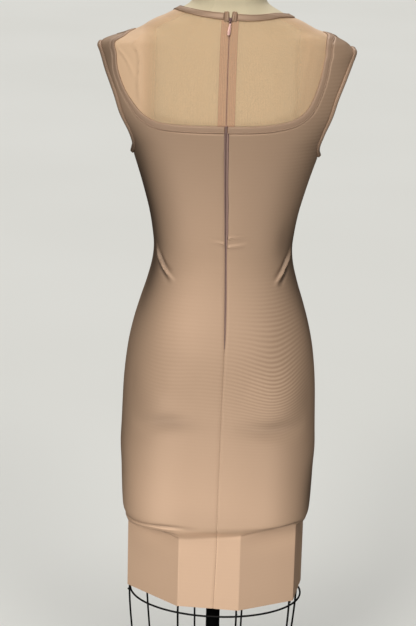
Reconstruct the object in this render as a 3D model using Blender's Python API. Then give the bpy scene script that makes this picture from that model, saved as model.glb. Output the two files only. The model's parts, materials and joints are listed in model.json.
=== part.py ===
"""A knee-length bodycon dress on a limbless dress form with a wire cage, a pole and a round foot.

Frame: metres, +Z up, the floor at z = 0 and the pole on the Z axis. The dress faces -Y, so its zip
is on the +Y side, and the wearer's left is +X.

Everything that lies round the body is placed on one surface by a turn and a height. A turn is an
angle round the Z axis from the centre back, positive towards the wearer's left, and the surface is
the outer face of the knit. A cloth piece is a patch of that surface with a thickness.
"""
import functools
import math

import bmesh
import bpy
import numpy as np
from mathutils import Matrix, Vector

MM = 0.001

# ---------------------------------------------------------------- heights, in mm from the floor
HEM = 392.0
LEDGE = 533.0           # the knit leaves the torso's lower edge here
CAGED = 505.0           # and from here down it is stretched flat from wire to wire
UNDERARM = 1190.0
SHOULDER_TIP = 1366.0
ZIP_END = 877.0
YOKE_LINE = 1165.0      # main pieces are plain rings of cloth up to here
NECK_TOP = 1488.0
CAGE_FOOT = 200.0
HOOP_UPPER = 380.0

# ---------------------------------------------------------------- sections over the knit, in mm
# Each is an oval whose corners fill out as squareness goes up from 2, a true ellipse.
SECTIONS = np.array((  # height, half width, depth at the back, depth at the front, squareness
    (515.0, 158.0, 118.0, 116.0, 2.30),
    (533.0, 163.0, 122.5, 120.0, 2.30),
    (545.0, 166.5, 126.0, 123.0, 2.30),
    (560.0, 168.0, 127.5, 124.0, 2.30),
    (590.0, 169.4, 128.5, 124.0, 2.30),
    (628.0, 170.6, 129.5, 123.0, 2.30),
    (665.0, 172.4, 130.5, 122.0, 2.30),
    (704.0, 171.0, 131.5, 120.0, 2.30),
    (741.0, 169.8, 132.0, 118.0, 2.30),
    (778.0, 168.3, 131.5, 116.0, 2.30),
    (815.0, 165.2, 128.5, 114.0, 2.30),
    (852.0, 160.2, 121.5, 112.0, 2.30),
    (888.0, 152.4, 111.5, 109.0, 2.25),
    (925.0, 141.8, 100.0, 105.0, 2.20),
    (961.0, 130.4, 90.0, 100.0, 2.20),
    (997.0, 121.6, 83.0, 96.0, 2.15),
    (1023.0, 119.4, 80.5, 95.0, 2.15),
    (1050.0, 122.0, 81.5, 98.0, 2.15),
    (1085.0, 128.0, 86.0, 108.0, 2.20),
    (1120.0, 137.0, 92.0, 121.0, 2.25),
    (1155.0, 147.2, 98.5, 131.0, 2.30),
    (1190.0, 158.8, 104.0, 136.0, 2.35),
    (1207.0, 165.8, 105.5, 136.0, 2.35),
    (1225.0, 178.0, 107.0, 134.0, 2.35),
    (1258.0, 203.2, 107.5, 126.0, 2.35),
    (1292.0, 217.6, 104.5, 117.0, 2.24),
    (1326.0, 222.8, 99.0, 108.0, 2.13),
    (1358.0, 216.0, 92.5, 99.0, 2.03),
    (1366.0, 212.4, 90.5, 96.5, 2.00),
    (1376.0, 203.7, 88.0, 93.0, 2.00),
    (1382.5, 189.4, 85.8, 90.5, 2.00),
    (1389.0, 173.4, 83.5, 88.0, 2.00),
    (1396.0, 150.8, 81.0, 85.0, 2.00),
    (1402.5, 137.4, 78.8, 82.0, 2.00),
    (1410.0, 123.2, 76.0, 78.5, 2.00),
    (1416.0, 109.0, 74.0, 75.0, 2.00),
    (1422.5, 96.4, 71.4, 71.5, 2.00),
    (1428.5, 85.0, 69.0, 68.0, 2.00),
    (1434.0, 75.0, 65.0, 64.0, 2.00),
    (1440.0, 66.5, 62.0, 61.5, 2.00),
    (1448.0, 62.5, 60.5, 60.0, 2.00),
    (1460.0, 61.0, 60.0, 59.5, 2.00),
    (1500.0, 60.5, 59.0, 59.0, 2.00),
))
# The straps stand out past the form's own shoulders, which are narrower than the sections above.
FORM_SHOULDERS = np.array((  # height, half width
    (1155.0, 147.2), (1190.0, 155.8), (1225.0, 161.0), (1260.0, 166.5), (1300.0, 171.0),
    (1340.0, 173.5), (1362.0, 173.0), (1376.0, 169.0), (1384.0, 162.0), (1390.0, 154.0),
    (1396.0, 144.0), (1402.5, 132.5), (1409.0, 121.0), (1416.0, 106.5), (1424.0, 91.5),
    (1434.0, 75.0),
))

# ---------------------------------------------------------------- lines of the cut, in mm
CENTRE_BACK = np.array((  # height, how far the seam stands off the Z axis, towards +X
    (392.0, 1.3), (500.0, -1.6), (600.0, -2.0), (700.0, -3.0), (800.0, -4.3), (880.0, -5.9),
    (1050.0, -3.0), (1160.0, 0.0), (1260.0, 1.5), (1390.0, 0.3), (1430.0, -1.5),
))
ZIP_SLOT = np.array((  # height, half the width of closed zip that shows between the two halves
    (868.0, 0.15), (877.0, 0.9), (890.0, 1.4), (950.0, 1.9), (1050.0, 1.9), (1150.0, 2.7),
    (1200.0, 3.3), (1245.0, 3.9),
))
MESH_SLOT = 1.0         # the same beside the mesh of the yoke
BAND_SLOT = 4.6         # and beside the ends of the band below it
NECKBAND_SLOT = 3.2     # the neckband's folded ends stand apart round the slider

# The yoke's lower edge from the centre back out to the shoulder line: distance from x = 0, height.
# The dress sits a little to the left on the shoulders, so its two sides differ.
YOKE_BACK_LEFT = np.array((
    (0.0, 1237.0), (52.0, 1236.6), (98.0, 1237.4), (125.0, 1242.6), (144.5, 1253.5),
    (159.0, 1270.5), (172.0, 1290.5), (182.0, 1311.0), (190.0, 1338.0), (193.0, 1361.0),
    (191.0, 1376.0),
))
YOKE_BACK_RIGHT = np.array((
    (0.0, 1237.0), (40.0, 1237.8), (80.0, 1241.0), (115.5, 1249.8), (136.5, 1265.5),
    (148.5, 1286.5), (158.5, 1314.0), (166.5, 1345.0), (171.5, 1372.0),
))
YOKE_FRONT = np.array((
    (0.0, 1226.0), (50.0, 1227.5), (90.0, 1234.0), (117.0, 1247.0), (137.0, 1268.0),
    (152.0, 1296.0), (166.0, 1330.0), (177.0, 1362.0),
))
YOKE_AT_SHOULDER = {  # heights of the band's outer and inner edge on the left and right shoulder line
    +1: (1386.5, 1391.7), -1: (1388.3, 1392.5),
}

NECKLINE = np.array((  # turn in degrees, height of the neckband's upper edge
    (-180.0, 1390.0), (-170.0, 1391.0), (-160.0, 1396.0), (-150.0, 1402.5), (-140.0, 1409.0),
    (-130.0, 1413.5), (-115.0, 1418.0), (-90.0, 1421.5), (-55.0, 1427.0), (-28.0, 1426.5),
    (0.0, 1428.5), (30.0, 1430.5), (60.0, 1432.0), (90.0, 1431.0), (105.0, 1428.0),
    (120.0, 1422.0), (130.0, 1417.0), (140.0, 1411.0), (150.0, 1403.0), (160.0, 1396.0),
    (170.0, 1391.0), (180.0, 1390.0),
))

ARMHOLE_OPENING = 32.0  # how far, in degrees of turn, it opens to each side of the shoulder line
ARMHOLE_SQUARENESS = (2.2, 1.75)  # of its lower half and of its upper half

# ---------------------------------------------------------------- how finely each piece is cut up
BODY_ROWS = (
    545, 565, 595, 630, 668, 708, 750, 790, 822, 850, ZIP_END, 910, 945, 983, 1020, 1055, 1090, 1126,
    YOKE_LINE,
)
MAIN_ROWS = (HEM, 430, 470, CAGED, 514, 523, LEDGE, *BODY_ROWS)
FORM_ROWS = (
    *BODY_ROWS, 1195, 1228, 1262, 1298, 1332, 1357, 1373, 1384, 1392, 1400, 1409, 1418, 1427, 1435,
    1446, 1460,
)
UNDERARM_ROWS = 4       # the armhole's pieces from the underarm to its widest point
STRAP_STARTS = np.linspace(0.3, 0.9, 61)  # shares of the yoke's edge where a strap may start
STRAP_COLUMNS = 4
ARMHOLE_PIECES = 9      # in each half
YOKE_ROWS = 6
QUARTERS = ((1, False), (1, True), (-1, True), (-1, False))  # side, front, as turns grow from 0

# ---------------------------------------------------------------- widths and thicknesses, in mm
SEAM = 0.3              # pieces that are sewn edge to edge
YOKE_BAND = 12.0
NECKBAND = 11.5
BINDING = 6.5
TAPE = 14.0
KNIT = (-1.6, 0.0)      # inner and outer face of each cloth, measured from the knit's outer face
MESH = (-1.6, -0.6)
STRIP = (-1.6, 0.6)     # yoke band and neckband: two layers of knit
BINDING_WALL = (-2.0, 0.8)
ZIP_TAPE = (-2.9, -2.1)
FORM_GAP_TORSO = -2.3   # the form's face under the skirt and the hips
FORM_GAP_ZIP = -4.0     # under the zip and its tapes
FORM_GAP_BODICE = -2.8
TORSO_GAP_TO = ZIP_END - 10.0     # up to this height the torso's gap holds
ZIP_GAP_TO = (14.0, 24.0)         # turns between which the gap under the zip eases into the bodice's
FORM_FOOT = (  # height, and size against the section at the ledge, where the torso's lower edge rounds in
    (530.0, 0.955), (532.5, 0.975), (537.0, 0.985),
)
FORM_END = ((1484.0, 1.0), (NECK_TOP, 0.94))  # the same where the neck ends

# ---------------------------------------------------------------- cage and stand, in mm
CAGE_OVER_CLOTH = (158.0, 118.7)  # half width and half depth over the cloth that is stretched on it
CAGE_INSET = 4.0        # from there in to the middle of a wire
WIRE = 3.5
# Where the eight wires stand, as turns: they were bent and welded by hand, so no two gaps agree.
WIRE_TURNS = (-99.2, -61.6, -15.0, 24.3, 82.3, 125.9, 166.8, 202.3)
CAGE_TAPER = np.array((  # height, size of the cage against its size under the hem
    (200.0, 0.920), (260.0, 0.938), (310.0, 0.970), (350.0, 0.992), (380.0, 1.0), (470.0, 1.0),
    (530.0, 0.965),
))
CAGE_BENDS = (230.0, 265.0, 300.0, 335.0, 365.0, 470.0, 500.0)
POLE_RADIUS = 12.5
FLANGE = (34.0, 8.0)    # radius and thickness
FOOT_PROFILE = (  # radius and height, from the rim in
    (215.0, 0.0), (215.0, 5.0), (211.0, 8.0), (60.0, 14.0), (32.0, 19.0), (24.0, 30.0),
    (21.0, 62.0),
)

# ---------------------------------------------------------------- slider and pull tab, in mm
# Their own axes: x across the zip, d down along it and n out of the cloth, from the slider's centre.
SLIDER_HEIGHT = 1416.5
SLIDER = (5.8, 10.0, 2.2)         # across, along, thick
SLIDER_CORNER = 1.2
SLIDER_BACK = -0.3
BRIDGE = (2.0, 6.4, 3.1)          # across, along, high
BRIDGE_BAR = 0.9                  # thickness of its legs and its top
PIVOT = (1.2, 3.0)                # d and n of the bar that the tab hangs from
PIVOT_RADIUS = 0.5
TAB_ARM = (1.35, 2.35)            # the two arms run from this to that distance from the middle
TAB_ARM_LENGTH = 4.4
TAB_PROFILE = (  # distance down from the pivot, half width
    (5.6, 1.7), (8.0, 2.3), (12.0, 2.7), (17.0, 3.1), (20.5, 3.0), (22.8, 2.1), (23.8, 0.9),
)
TAB_THICK = 1.1
TAB_LEAN = 7.0                    # degrees, towards +X
TAB_REST = 3.5                    # degrees that it hangs in, towards the cloth

# ---------------------------------------------------------------- colours
COLOURS = {  # linear red, green, blue, then roughness and metallic
    "bandage knit": ((0.36, 0.235, 0.155), 0.75, 0.0),
    "bandage strip": ((0.38, 0.25, 0.17), 0.7, 0.0),
    "sheer mesh": ((0.56, 0.41, 0.27), 0.8, 0.0),
    "zip tape": ((0.33, 0.19, 0.14), 0.8, 0.0),
    "lacquered zip slider": ((0.12, 0.06, 0.055), 0.4, 0.6),
    "rose metal tab": ((0.55, 0.36, 0.31), 0.3, 1.0),
    "linen cover": ((0.52, 0.46, 0.34), 0.9, 0.0),
    "black wire": ((0.01, 0.01, 0.01), 0.45, 0.3),
    "black cast iron": ((0.015, 0.015, 0.015), 0.55, 0.2),
}


def smooth_through(rows, x, column=1):
    """The value at x of a smooth curve through the rows that never swings past them."""
    xs, ys = rows[:, 0], rows[:, column]
    spans = np.diff(xs)
    slopes = np.diff(ys) / spans
    tangents = np.concatenate(([slopes[0]], (slopes[1:] + slopes[:-1]) / 2, [slopes[-1]]))
    turns_back = slopes[1:] * slopes[:-1] <= 0
    tangents[1:-1][turns_back] = 0.0
    limit = 3 * np.minimum(np.abs(slopes[1:]), np.abs(slopes[:-1]))
    tangents[1:-1] = np.clip(tangents[1:-1], -limit, limit)
    x = min(max(x, xs[0]), xs[-1])
    k = min(int(np.searchsorted(xs, x, side="right")) - 1, len(spans) - 1)
    t = (x - xs[k]) / spans[k]
    return float(
        (1 + 2 * t) * (1 - t) ** 2 * ys[k] + t * (1 - t) ** 2 * spans[k] * tangents[k]
        + t * t * (3 - 2 * t) * ys[k + 1] + t * t * (t - 1) * spans[k] * tangents[k + 1]
    )


@functools.lru_cache(maxsize=None)
def section(height):
    return [smooth_through(SECTIONS, height, column) for column in range(1, 5)]


def oval(turn, half_width, back, front, squareness):
    sine, cosine = math.sin(math.radians(turn)), math.cos(math.radians(turn))
    power = 2 / squareness
    depth = back if cosine > 0 else front
    return np.array((
        half_width * math.copysign(abs(sine) ** power, sine),
        depth * math.copysign(abs(cosine) ** power, cosine),
    ))


def on_cage(turn):
    """The straight run of cloth between the two wires on either side of this turn."""
    wires = sorted(wire % 360 for wire in WIRE_TURNS)
    wires.append(wires[0] + 360)
    turn = (turn - wires[0]) % 360 + wires[0]
    k = max(n for n, wire in enumerate(wires[:-1]) if wire <= turn)
    share = (turn - wires[k]) / (wires[k + 1] - wires[k])
    half_width, half_depth = CAGE_OVER_CLOTH
    first, second = (oval(wire, half_width, half_depth, half_depth, 2.0) for wire in wires[k : k + 2])
    return first * (1 - share) + second * share


def surface(turn, height):
    """The point of the knit's outer face at this turn and height, in mm."""
    across = oval(turn, *section(max(height, SECTIONS[0, 0])))
    share = min(max((LEDGE - height) / (LEDGE - CAGED), 0.0), 1.0)
    if share > 0:
        share = share * share * (3 - 2 * share)
        across = across * (1 - share) + on_cage(turn) * share
    return np.array((across[0], across[1], height))


def form_surface(turn, height):
    """The same for the form, whose shoulders are its own."""
    half_width, back, front, squareness = section(height)
    if FORM_SHOULDERS[0, 0] < height < FORM_SHOULDERS[-1, 0]:
        half_width = min(half_width, smooth_through(FORM_SHOULDERS, height))
    across = oval(turn, half_width, back, front, squareness)
    return np.array((across[0], across[1], height))


def slopes(turn, height, of=surface, step_turn=0.4, step_height=0.6):
    """How the point moves for a degree of turn and for a millimetre of height."""
    along = (of(turn + step_turn, height) - of(turn - step_turn, height)) / (2 * step_turn)
    up = (of(turn, height + step_height) - of(turn, height - step_height)) / (2 * step_height)
    return along, up


def outwards(turn, height, of=surface):
    along, up = slopes(turn, height, of)
    normal = np.cross(up, along)
    return normal / np.linalg.norm(normal)


def place(turn, height, offset, of=surface):
    """The point this far out from the surface, in metres."""
    return (of(turn, height) + offset * outwards(turn, height, of)) * MM


def halve(function, low, high):
    """Where a rising function passes zero."""
    for _ in range(40):
        middle = (low + high) / 2
        if function(middle) < 0:
            low = middle
        else:
            high = middle
    return (low + high) / 2


def turn_at(x, height, front=False):
    """The turn of the point of the back, or of the front, that stands at this x."""
    side = 1 if x >= 0 else -1
    turn = side * halve(lambda t: side * surface(side * t, height)[0] - abs(x), 0.0, 90.0)
    return 180.0 - turn if front else turn


def step_round(turn, height, distance):
    """The turn that lies this far along the section, in mm, towards greater turns."""
    start = surface(turn, height)
    way = 1 if distance >= 0 else -1
    return turn + way * halve(
        lambda t: np.linalg.norm(surface(turn + way * t, height) - start) - abs(distance), 0.0, 14.0
    )


def centre_back(height):
    return turn_at(smooth_through(CENTRE_BACK, height), height)


def zip_edge(height, side, slot):
    """The turn of a cut edge beside the zip, this far from the centre back seam."""
    return step_round(centre_back(height), height, side * slot)


def panel_edge(height, side):
    return zip_edge(height, side, smooth_through(ZIP_SLOT, height))


def side_turn(side, front):
    """The turn of the side seam and the shoulder line. The front's turns run from 90 to 270."""
    return 270.0 if front and side < 0 else side * 90.0


def beside_seam(height, side, front):
    """The cut edge of a back or front piece at the side seam, or along the shoulder line."""
    return step_round(side_turn(side, front), height, (side if front else -side) * SEAM / 2)


def outward_sign(side, front):
    """The way that moved() takes a curve that runs from the centre line out, away from the neck."""
    return -side if front else side


def moved(curve, distance, closed=False):
    """A curve of (turn, height) pairs moved sideways along the surface by this many mm."""
    points = np.array([surface(*pair) for pair in curve])
    tangents = np.roll(points, -1, 0) - np.roll(points, 1, 0) if closed else np.gradient(points, axis=0)
    result = []
    for (turn, height), point, tangent in zip(curve, points, tangents):
        sideways = np.cross(outwards(turn, height), tangent)
        target = point + distance * sideways / np.linalg.norm(sideways)
        for _ in range(8):
            off = target - surface(turn, height)
            change = np.linalg.lstsq(np.array(slopes(turn, height)).T, off, rcond=None)[0]
            turn, height = turn + 0.8 * change[0], height + 0.8 * change[1]
        result.append((turn, height))
    return np.array(result)


def shares_of(curve):
    """How far along its length each point of a curve lies, from 0 to 1."""
    points = np.array([surface(*pair) for pair in curve])
    lengths = np.concatenate(([0.0], np.cumsum(np.linalg.norm(np.diff(points, axis=0), axis=1))))
    return lengths / lengths[-1]


def resampled(curve, shares):
    own = shares_of(curve)
    return np.stack([np.interp(shares, own, curve[:, k]) for k in (0, 1)], axis=1)


def stations(low, high, widest=10.5):
    """Turns from low to high that include every wire's turn, none further apart than widest."""
    wires = sorted(w for wire in WIRE_TURNS for w in (wire % 360, wire % 360 - 360) if low < w < high)
    turns = [low]
    for stop in (*wires, high):
        pieces = math.ceil((stop - turns[-1]) / widest)
        turns.extend(np.linspace(turns[-1], stop, pieces + 1)[1:])
    return turns


def half_stations(side, front):
    """The stations from the centre line out to the side."""
    if front:
        return stations(90.0, 180.0)[::-1] if side > 0 else stations(180.0, 270.0)
    return stations(0.0, 90.0) if side > 0 else stations(-90.0, 0.0)[::-1]


# ---------------------------------------------------------------- meshes and objects
def material_of(name):
    material = bpy.data.materials.get(name)
    if material is None:
        colour, roughness, metallic = COLOURS[name]
        material = bpy.data.materials.new(name)
        material.use_nodes = True
        material.diffuse_color = (*colour, 1.0)
        shader = material.node_tree.nodes["Principled BSDF"]
        shader.inputs["Base Color"].default_value = (*colour, 1.0)
        shader.inputs["Roughness"].default_value = roughness
        shader.inputs["Metallic"].default_value = metallic
    return material


def finish(name, mesh, material, smooth_angle=35.0):
    data = bpy.data.meshes.new(name)
    mesh.to_mesh(data)
    mesh.free()
    data.shade_smooth()
    data.set_sharp_from_angle(angle=math.radians(smooth_angle))
    data.materials.append(material_of(material))
    piece = bpy.data.objects.new(name, data)
    bpy.context.scene.collection.objects.link(piece)
    return piece


def cells_between(rows, closed=False):
    """The cells of a grid of (turn, height) pairs, given as rows of equal length."""
    rows = [[tuple(pair) for pair in row] for row in rows]
    if closed:
        rows = [row + row[:1] for row in rows]
    return [
        (low[k], high[k], high[k + 1], low[k + 1])
        for low, high in zip(rows, rows[1:])
        for k in range(len(low) - 1)
    ]


def cloth(name, cells, wall, material):
    """A closed solid from cells of (turn, height) pairs, between two distances from the surface."""
    index, corners, faces = {}, [], []
    for cell in cells:
        face = []
        for pair in cell:
            key = (round(pair[0], 5), round(pair[1], 4))
            if key not in index:
                index[key] = len(corners)
                corners.append(pair)
            face.append(index[key])
        flat = np.array([corners[k] for k in face])
        following = np.roll(flat, -1, 0)
        area = (flat[:, 0] * following[:, 1] - following[:, 0] * flat[:, 1]).sum()
        # Turns grow to the left as seen from outside, so a face that points outwards has this area.
        faces.append(face if area < 0 else face[::-1])
    mesh = bmesh.new()
    inner, outer = ([mesh.verts.new(place(*pair, depth)) for pair in corners] for depth in wall)
    edges = {(a, b) for face in faces for a, b in zip(face, face[1:] + face[:1])}
    for face in faces:
        mesh.faces.new([outer[k] for k in face])
        mesh.faces.new([inner[k] for k in reversed(face)])
    for a, b in sorted(edges):
        if (b, a) not in edges:
            mesh.faces.new((outer[b], outer[a], inner[a], inner[b]))
    return finish(name, mesh, material)


def rings_to_solid(name, rings, material, smooth_angle=35.0):
    """A closed solid through rings of points in metres, each anticlockwise from above, upwards."""
    mesh = bmesh.new()
    rings = [[mesh.verts.new(point) for point in ring] for ring in rings]
    for low, high in zip(rings, rings[1:]):
        for n in range(len(low)):
            mesh.faces.new((low[n - 1], low[n], high[n], high[n - 1]))
    mesh.faces.new(reversed(rings[0]))
    mesh.faces.new(rings[-1])
    return finish(name, mesh, material, smooth_angle)


def turned(name, profile, material, sides=48):
    """A solid of revolution about the Z axis from (radius, height) pairs in mm, lowest first."""
    angles = [2 * math.pi * n / sides for n in range(sides)]
    rings = [
        [(radius * MM * math.cos(a), radius * MM * math.sin(a), height * MM) for a in angles]
        for radius, height in profile
    ]
    return rings_to_solid(name, rings, material)


def bar(name, path, material, closed=False, sides=6):
    """A round wire through points in metres."""
    mesh = bmesh.new()
    path = [Vector(point) for point in path]
    rings = []
    for k, point in enumerate(path):
        behind = path[k - 1] if closed or k else point
        ahead = path[(k + 1) % len(path)] if closed or k + 1 < len(path) else point
        along = (ahead - behind).normalized()
        across = along.cross(Vector((-point.y, point.x, 0.0)) if abs(along.z) > 0.7 else Vector((0, 0, 1)))
        across.normalize()
        third = along.cross(across)
        ring = []
        for n in range(sides):
            angle = 2 * math.pi * n / sides
            spoke = across * math.cos(angle) + third * math.sin(angle)
            ring.append(mesh.verts.new(point + spoke * WIRE / 2 * MM))
        rings.append(ring)
    for first, second in zip(rings, rings[1:] + (rings[:1] if closed else [])):
        for n in range(sides):
            mesh.faces.new((first[n - 1], first[n], second[n], second[n - 1]))
    if not closed:
        mesh.faces.new(reversed(rings[0]))
        mesh.faces.new(rings[-1])
    return finish(name, mesh, material)


# ---------------------------------------------------------------- the cut lines
def yoke_edge(side, front):
    """The yoke's outer edge from the centre line out to the shoulder line, as (turn, height)."""
    table = YOKE_FRONT if front else (YOKE_BACK_LEFT if side > 0 else YOKE_BACK_RIGHT)
    curve = [[turn_at(side * x, height, front), height] for x, height in table]
    if not front:
        curve[0][0] = centre_back(curve[0][1])
    curve.append([side_turn(side, front), YOKE_AT_SHOULDER[side][0]])
    return np.array(curve)


def yoke_points(side, front):
    """That edge at the points that all the pieces along it share."""
    edge = yoke_edge(side, front)
    near = surface(*strap_edge(side, front)[UNDERARM_ROWS])
    split = min(STRAP_STARTS, key=lambda s: np.linalg.norm(surface(*resampled(edge, [s])[0]) - near))
    low = np.linspace(0.0, split, across_yoke(side, front) + 1)
    high = np.linspace(split, 1.0, ARMHOLE_PIECES - UNDERARM_ROWS + 1)
    return resampled(edge, np.concatenate((low, high[1:])))


def across_yoke(side, front):
    """How many columns of the main piece end on the yoke's edge."""
    return len(half_stations(side, front)) - 1 - STRAP_COLUMNS


def beside_yoke(side, front, inwards):
    """The yoke's edge moved this far towards the neck, its ends kept on the centre and shoulder lines."""
    curve = moved(yoke_points(side, front), -inwards * outward_sign(side, front))
    outer, inner = YOKE_AT_SHOULDER[side]
    end = outer + (inner - outer) * inwards / YOKE_BAND
    curve[-1] = (beside_seam(end, side, front), end)
    if front:
        curve[0] = (180.0, YOKE_FRONT[0, 1] + inwards)
    return curve


@functools.lru_cache(maxsize=None)
def neck_edge(below):
    """The neckline all the way round from turn 0, moved this far down.

    Its points stand over the columns of the yoke. It ends with its first point again, and the second
    value says where in it each quarter starts."""
    turns, starts = [], []
    for side, front in QUARTERS:
        quarter = beside_yoke(side, front, YOKE_BAND + 2 * SEAM)[1:-1, 0] % 360
        starts.append(len(turns))
        turns.extend((90.0 * len(starts) - 90.0, *sorted(quarter)))
    curve = [(turn, smooth_through(NECKLINE, (turn + 180) % 360 - 180)) for turn in turns]
    curve = moved(curve, below, closed=True)
    for quarter, k in enumerate(starts):
        turn = 90.0 * quarter
        curve[k] = (turn, np.interp(turn, curve[:, 0], curve[:, 1], period=360))
    return np.concatenate((curve, curve[:1] + (360.0, 0.0))), (*starts, len(turns))


def neck_quarter(side, front, below):
    """One quarter of it, from the centre line out to the shoulder line."""
    curve, starts = neck_edge(below)
    k = QUARTERS.index((side, front))
    quarter = curve[starts[k] : starts[k + 1] + 1].copy()
    if k == 3:
        quarter[:, 0] -= 360
    return quarter[::-1] if k % 2 else quarter


def armhole(side):
    """The armhole's edge as a closed curve: from the underarm up the back, and down the front."""
    middle = (SHOULDER_TIP + UNDERARM) / 2
    half = (SHOULDER_TIP - UNDERARM) / 2
    curve = []
    for k in range(2 * ARMHOLE_PIECES):
        angle = -math.pi / 2 + math.pi * k / ARMHOLE_PIECES
        rise, spread = math.sin(angle), math.cos(angle)
        power = 2 / ARMHOLE_SQUARENESS[rise > 0]
        height = middle + half * math.copysign(abs(rise) ** power, rise)
        opening = ARMHOLE_OPENING * math.copysign(abs(spread) ** power, spread)
        curve.append((side * (90.0 - opening), height))
    return np.array(curve)


def strap_edge(side, front):
    """The edge beside the binding, from the underarm up to the shoulder line."""
    ring = moved(armhole(side), -side * (BINDING + SEAM), closed=True)
    if front:
        ring = np.concatenate((ring[:1], ring[: ARMHOLE_PIECES - 1 : -1]))
        ring[:, 0] %= 360
    else:
        ring = ring[: ARMHOLE_PIECES + 1]
    for k in (0, -1):
        ring[k, 0] = beside_seam(ring[k, 1], side, front)
    return ring


# ---------------------------------------------------------------- the dress
def main_half(side, front):
    """The cells of one half of a main piece, from the centre line to the side seam and the strap."""
    turns = half_stations(side, front)
    rows = []
    for height in MAIN_ROWS:
        first = 180.0 if front else panel_edge(height, side)
        rows.append([(t, height) for t in (first, *turns[1:-1], beside_seam(height, side, front))])
    edge = strap_edge(side, front)
    inner = beside_yoke(side, front, -SEAM / 2)
    corner = across_yoke(side, front)
    top = np.concatenate((inner[:corner], between(inner[corner], edge[UNDERARM_ROWS], STRAP_COLUMNS)))
    rows.extend(filled(rows[-1], top, edge[: UNDERARM_ROWS + 1], side, front))
    straps = [between(a, b, STRAP_COLUMNS) for a, b in zip(inner[corner:], edge[UNDERARM_ROWS:])]
    for point in straps[-1]:
        point[0] = beside_seam(point[1], side, front)
    return rows, straps


def between(start, end, pieces):
    shares = np.linspace(0.0, 1.0, pieces + 1)[:, None]
    return np.array(start) * (1 - shares) + np.array(end) * shares


def filled(bottom, top, right, side, front):
    """The rows above bottom, up to top, whose outer ends run along right."""
    bottom, top = np.array(bottom), np.array(top)
    u = np.linspace(0.0, 1.0, len(bottom))[:, None]
    rows = []
    for k, end in enumerate(right, 1):
        s = k / len(right)
        height = bottom[0, 1] * (1 - s) + top[0, 1] * s
        start = np.array((180.0 if front else panel_edge(height, side), height))
        straight = bottom * (1 - s) + top * s
        row = straight + (1 - u) * (start - straight[0]) + u * (end - straight[-1])
        rows.append(top if k == len(right) else row)
    rows[-1][0, 0] = 180.0 if front else panel_edge(top[0, 1], side)
    return rows


def yoke_half(side, front):
    """The rows of one half of the yoke, from the neckband down to the yoke band."""
    lower = beside_yoke(side, front, YOKE_BAND + 2 * SEAM)
    upper = neck_quarter(side, front, NECKBAND + SEAM)
    rows = []
    for share in np.linspace(0.0, 1.0, YOKE_ROWS + 1):
        row = upper * (1 - share) + lower * share
        row[0, 0] = 180.0 if front else zip_edge(row[0, 1], side, MESH_SLOT)
        row[-1, 0] = beside_seam(row[-1, 1], side, front)
        rows.append(row)
    return rows


def band_half(side, front):
    """The two edges of one half of the band along the yoke."""
    rows = [beside_yoke(side, front, inwards) for inwards in (SEAM / 2, SEAM / 2 + YOKE_BAND)]
    if not front:
        for row in rows:
            row[0, 0] = zip_edge(row[0, 1], side, BAND_SLOT)
    return rows


def make_dress():
    centre_heights = {}
    for side, word in ((1, "left"), (-1, "right")):
        rows, straps = main_half(side, front=False)
        cloth("back_" + word, cells_between(rows) + cells_between(straps), KNIT, "bandage knit")
        yoke = yoke_half(side, front=False)
        cloth("yoke_back_" + word, cells_between(yoke), MESH, "sheer mesh")
        cloth("yoke_band_back_" + word, cells_between(band_half(side, False)), STRIP, "bandage strip")
        centre_heights[side] = sorted({h for h in MAIN_ROWS if h >= ZIP_END} | {
            round(float(row[0][1]), 4) for row in rows[len(MAIN_ROWS):] + yoke
        })
    halves = [main_half(side, front=True) for side in (1, -1)]
    cloth(
        "front",
        [cell for rows, straps in halves for cell in cells_between(rows) + cells_between(straps)],
        KNIT, "bandage knit",
    )
    for name, half, wall, material in (
        ("yoke_front", yoke_half, MESH, "sheer mesh"),
        ("yoke_band_front", band_half, STRIP, "bandage strip"),
    ):
        cloth(name, [c for side in (1, -1) for c in cells_between(half(side, True))], wall, material)
    make_neckband()
    for side, word in ((1, "left"), (-1, "right")):
        edge = armhole(side)
        strip = cells_between([edge, moved(edge, -side * BINDING, closed=True)], closed=True)
        cloth("armhole_binding_" + word, strip, BINDING_WALL, "bandage strip")
        make_zip_tape(side, word, centre_heights[side])


def make_neckband():
    rows = []
    for below in (0.0, NECKBAND):
        row = neck_edge(below)[0].copy()
        row[0, 0] = zip_edge(row[0, 1], 1, NECKBAND_SLOT)
        row[-1, 0] = zip_edge(row[-1, 1], -1, NECKBAND_SLOT) + 360
        rows.append(row)
    cloth("neckband", cells_between(rows), STRIP, "bandage strip")


def make_zip_tape(side, word, heights):
    across = (SEAM / 2, TAPE / 2, TAPE)
    rows = [[(zip_edge(height, side, d), height) for d in across] for height in heights]
    cloth("zip_tape_" + word, cells_between(rows), ZIP_TAPE, "zip tape")


def zip_axes():
    """Where the slider stands and its own axes, as a matrix in metres."""
    turn = centre_back(SLIDER_HEIGHT)
    normal = Vector(outwards(turn, SLIDER_HEIGHT))
    normal.x = 0.0
    normal.normalize()
    across = Vector((1.0, 0.0, 0.0))
    down = normal.cross(across)
    axes = Matrix((across, down, normal)).transposed().to_4x4()
    return Matrix.Translation(surface(turn, SLIDER_HEIGHT) * MM) @ axes


def extruded(outline, low, high, order):
    """A bmesh prism of an outline. order says which own axis each of outline and depth is."""
    mesh = bmesh.new()
    layers = []
    for depth in (low, high):
        layer = []
        for pair in outline:
            own = [0.0, 0.0, 0.0]
            own[order[0]], own[order[1]], own[order[2]] = pair[0] * MM, pair[1] * MM, depth * MM
            layer.append(mesh.verts.new(own))
        layers.append(layer)
    mesh.faces.new(layers[0])
    mesh.faces.new(layers[1])
    for k in range(len(outline)):
        mesh.faces.new((layers[0][k - 1], layers[0][k], layers[1][k], layers[1][k - 1]))
    bmesh.ops.recalc_face_normals(mesh, faces=mesh.faces)
    return mesh


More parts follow.
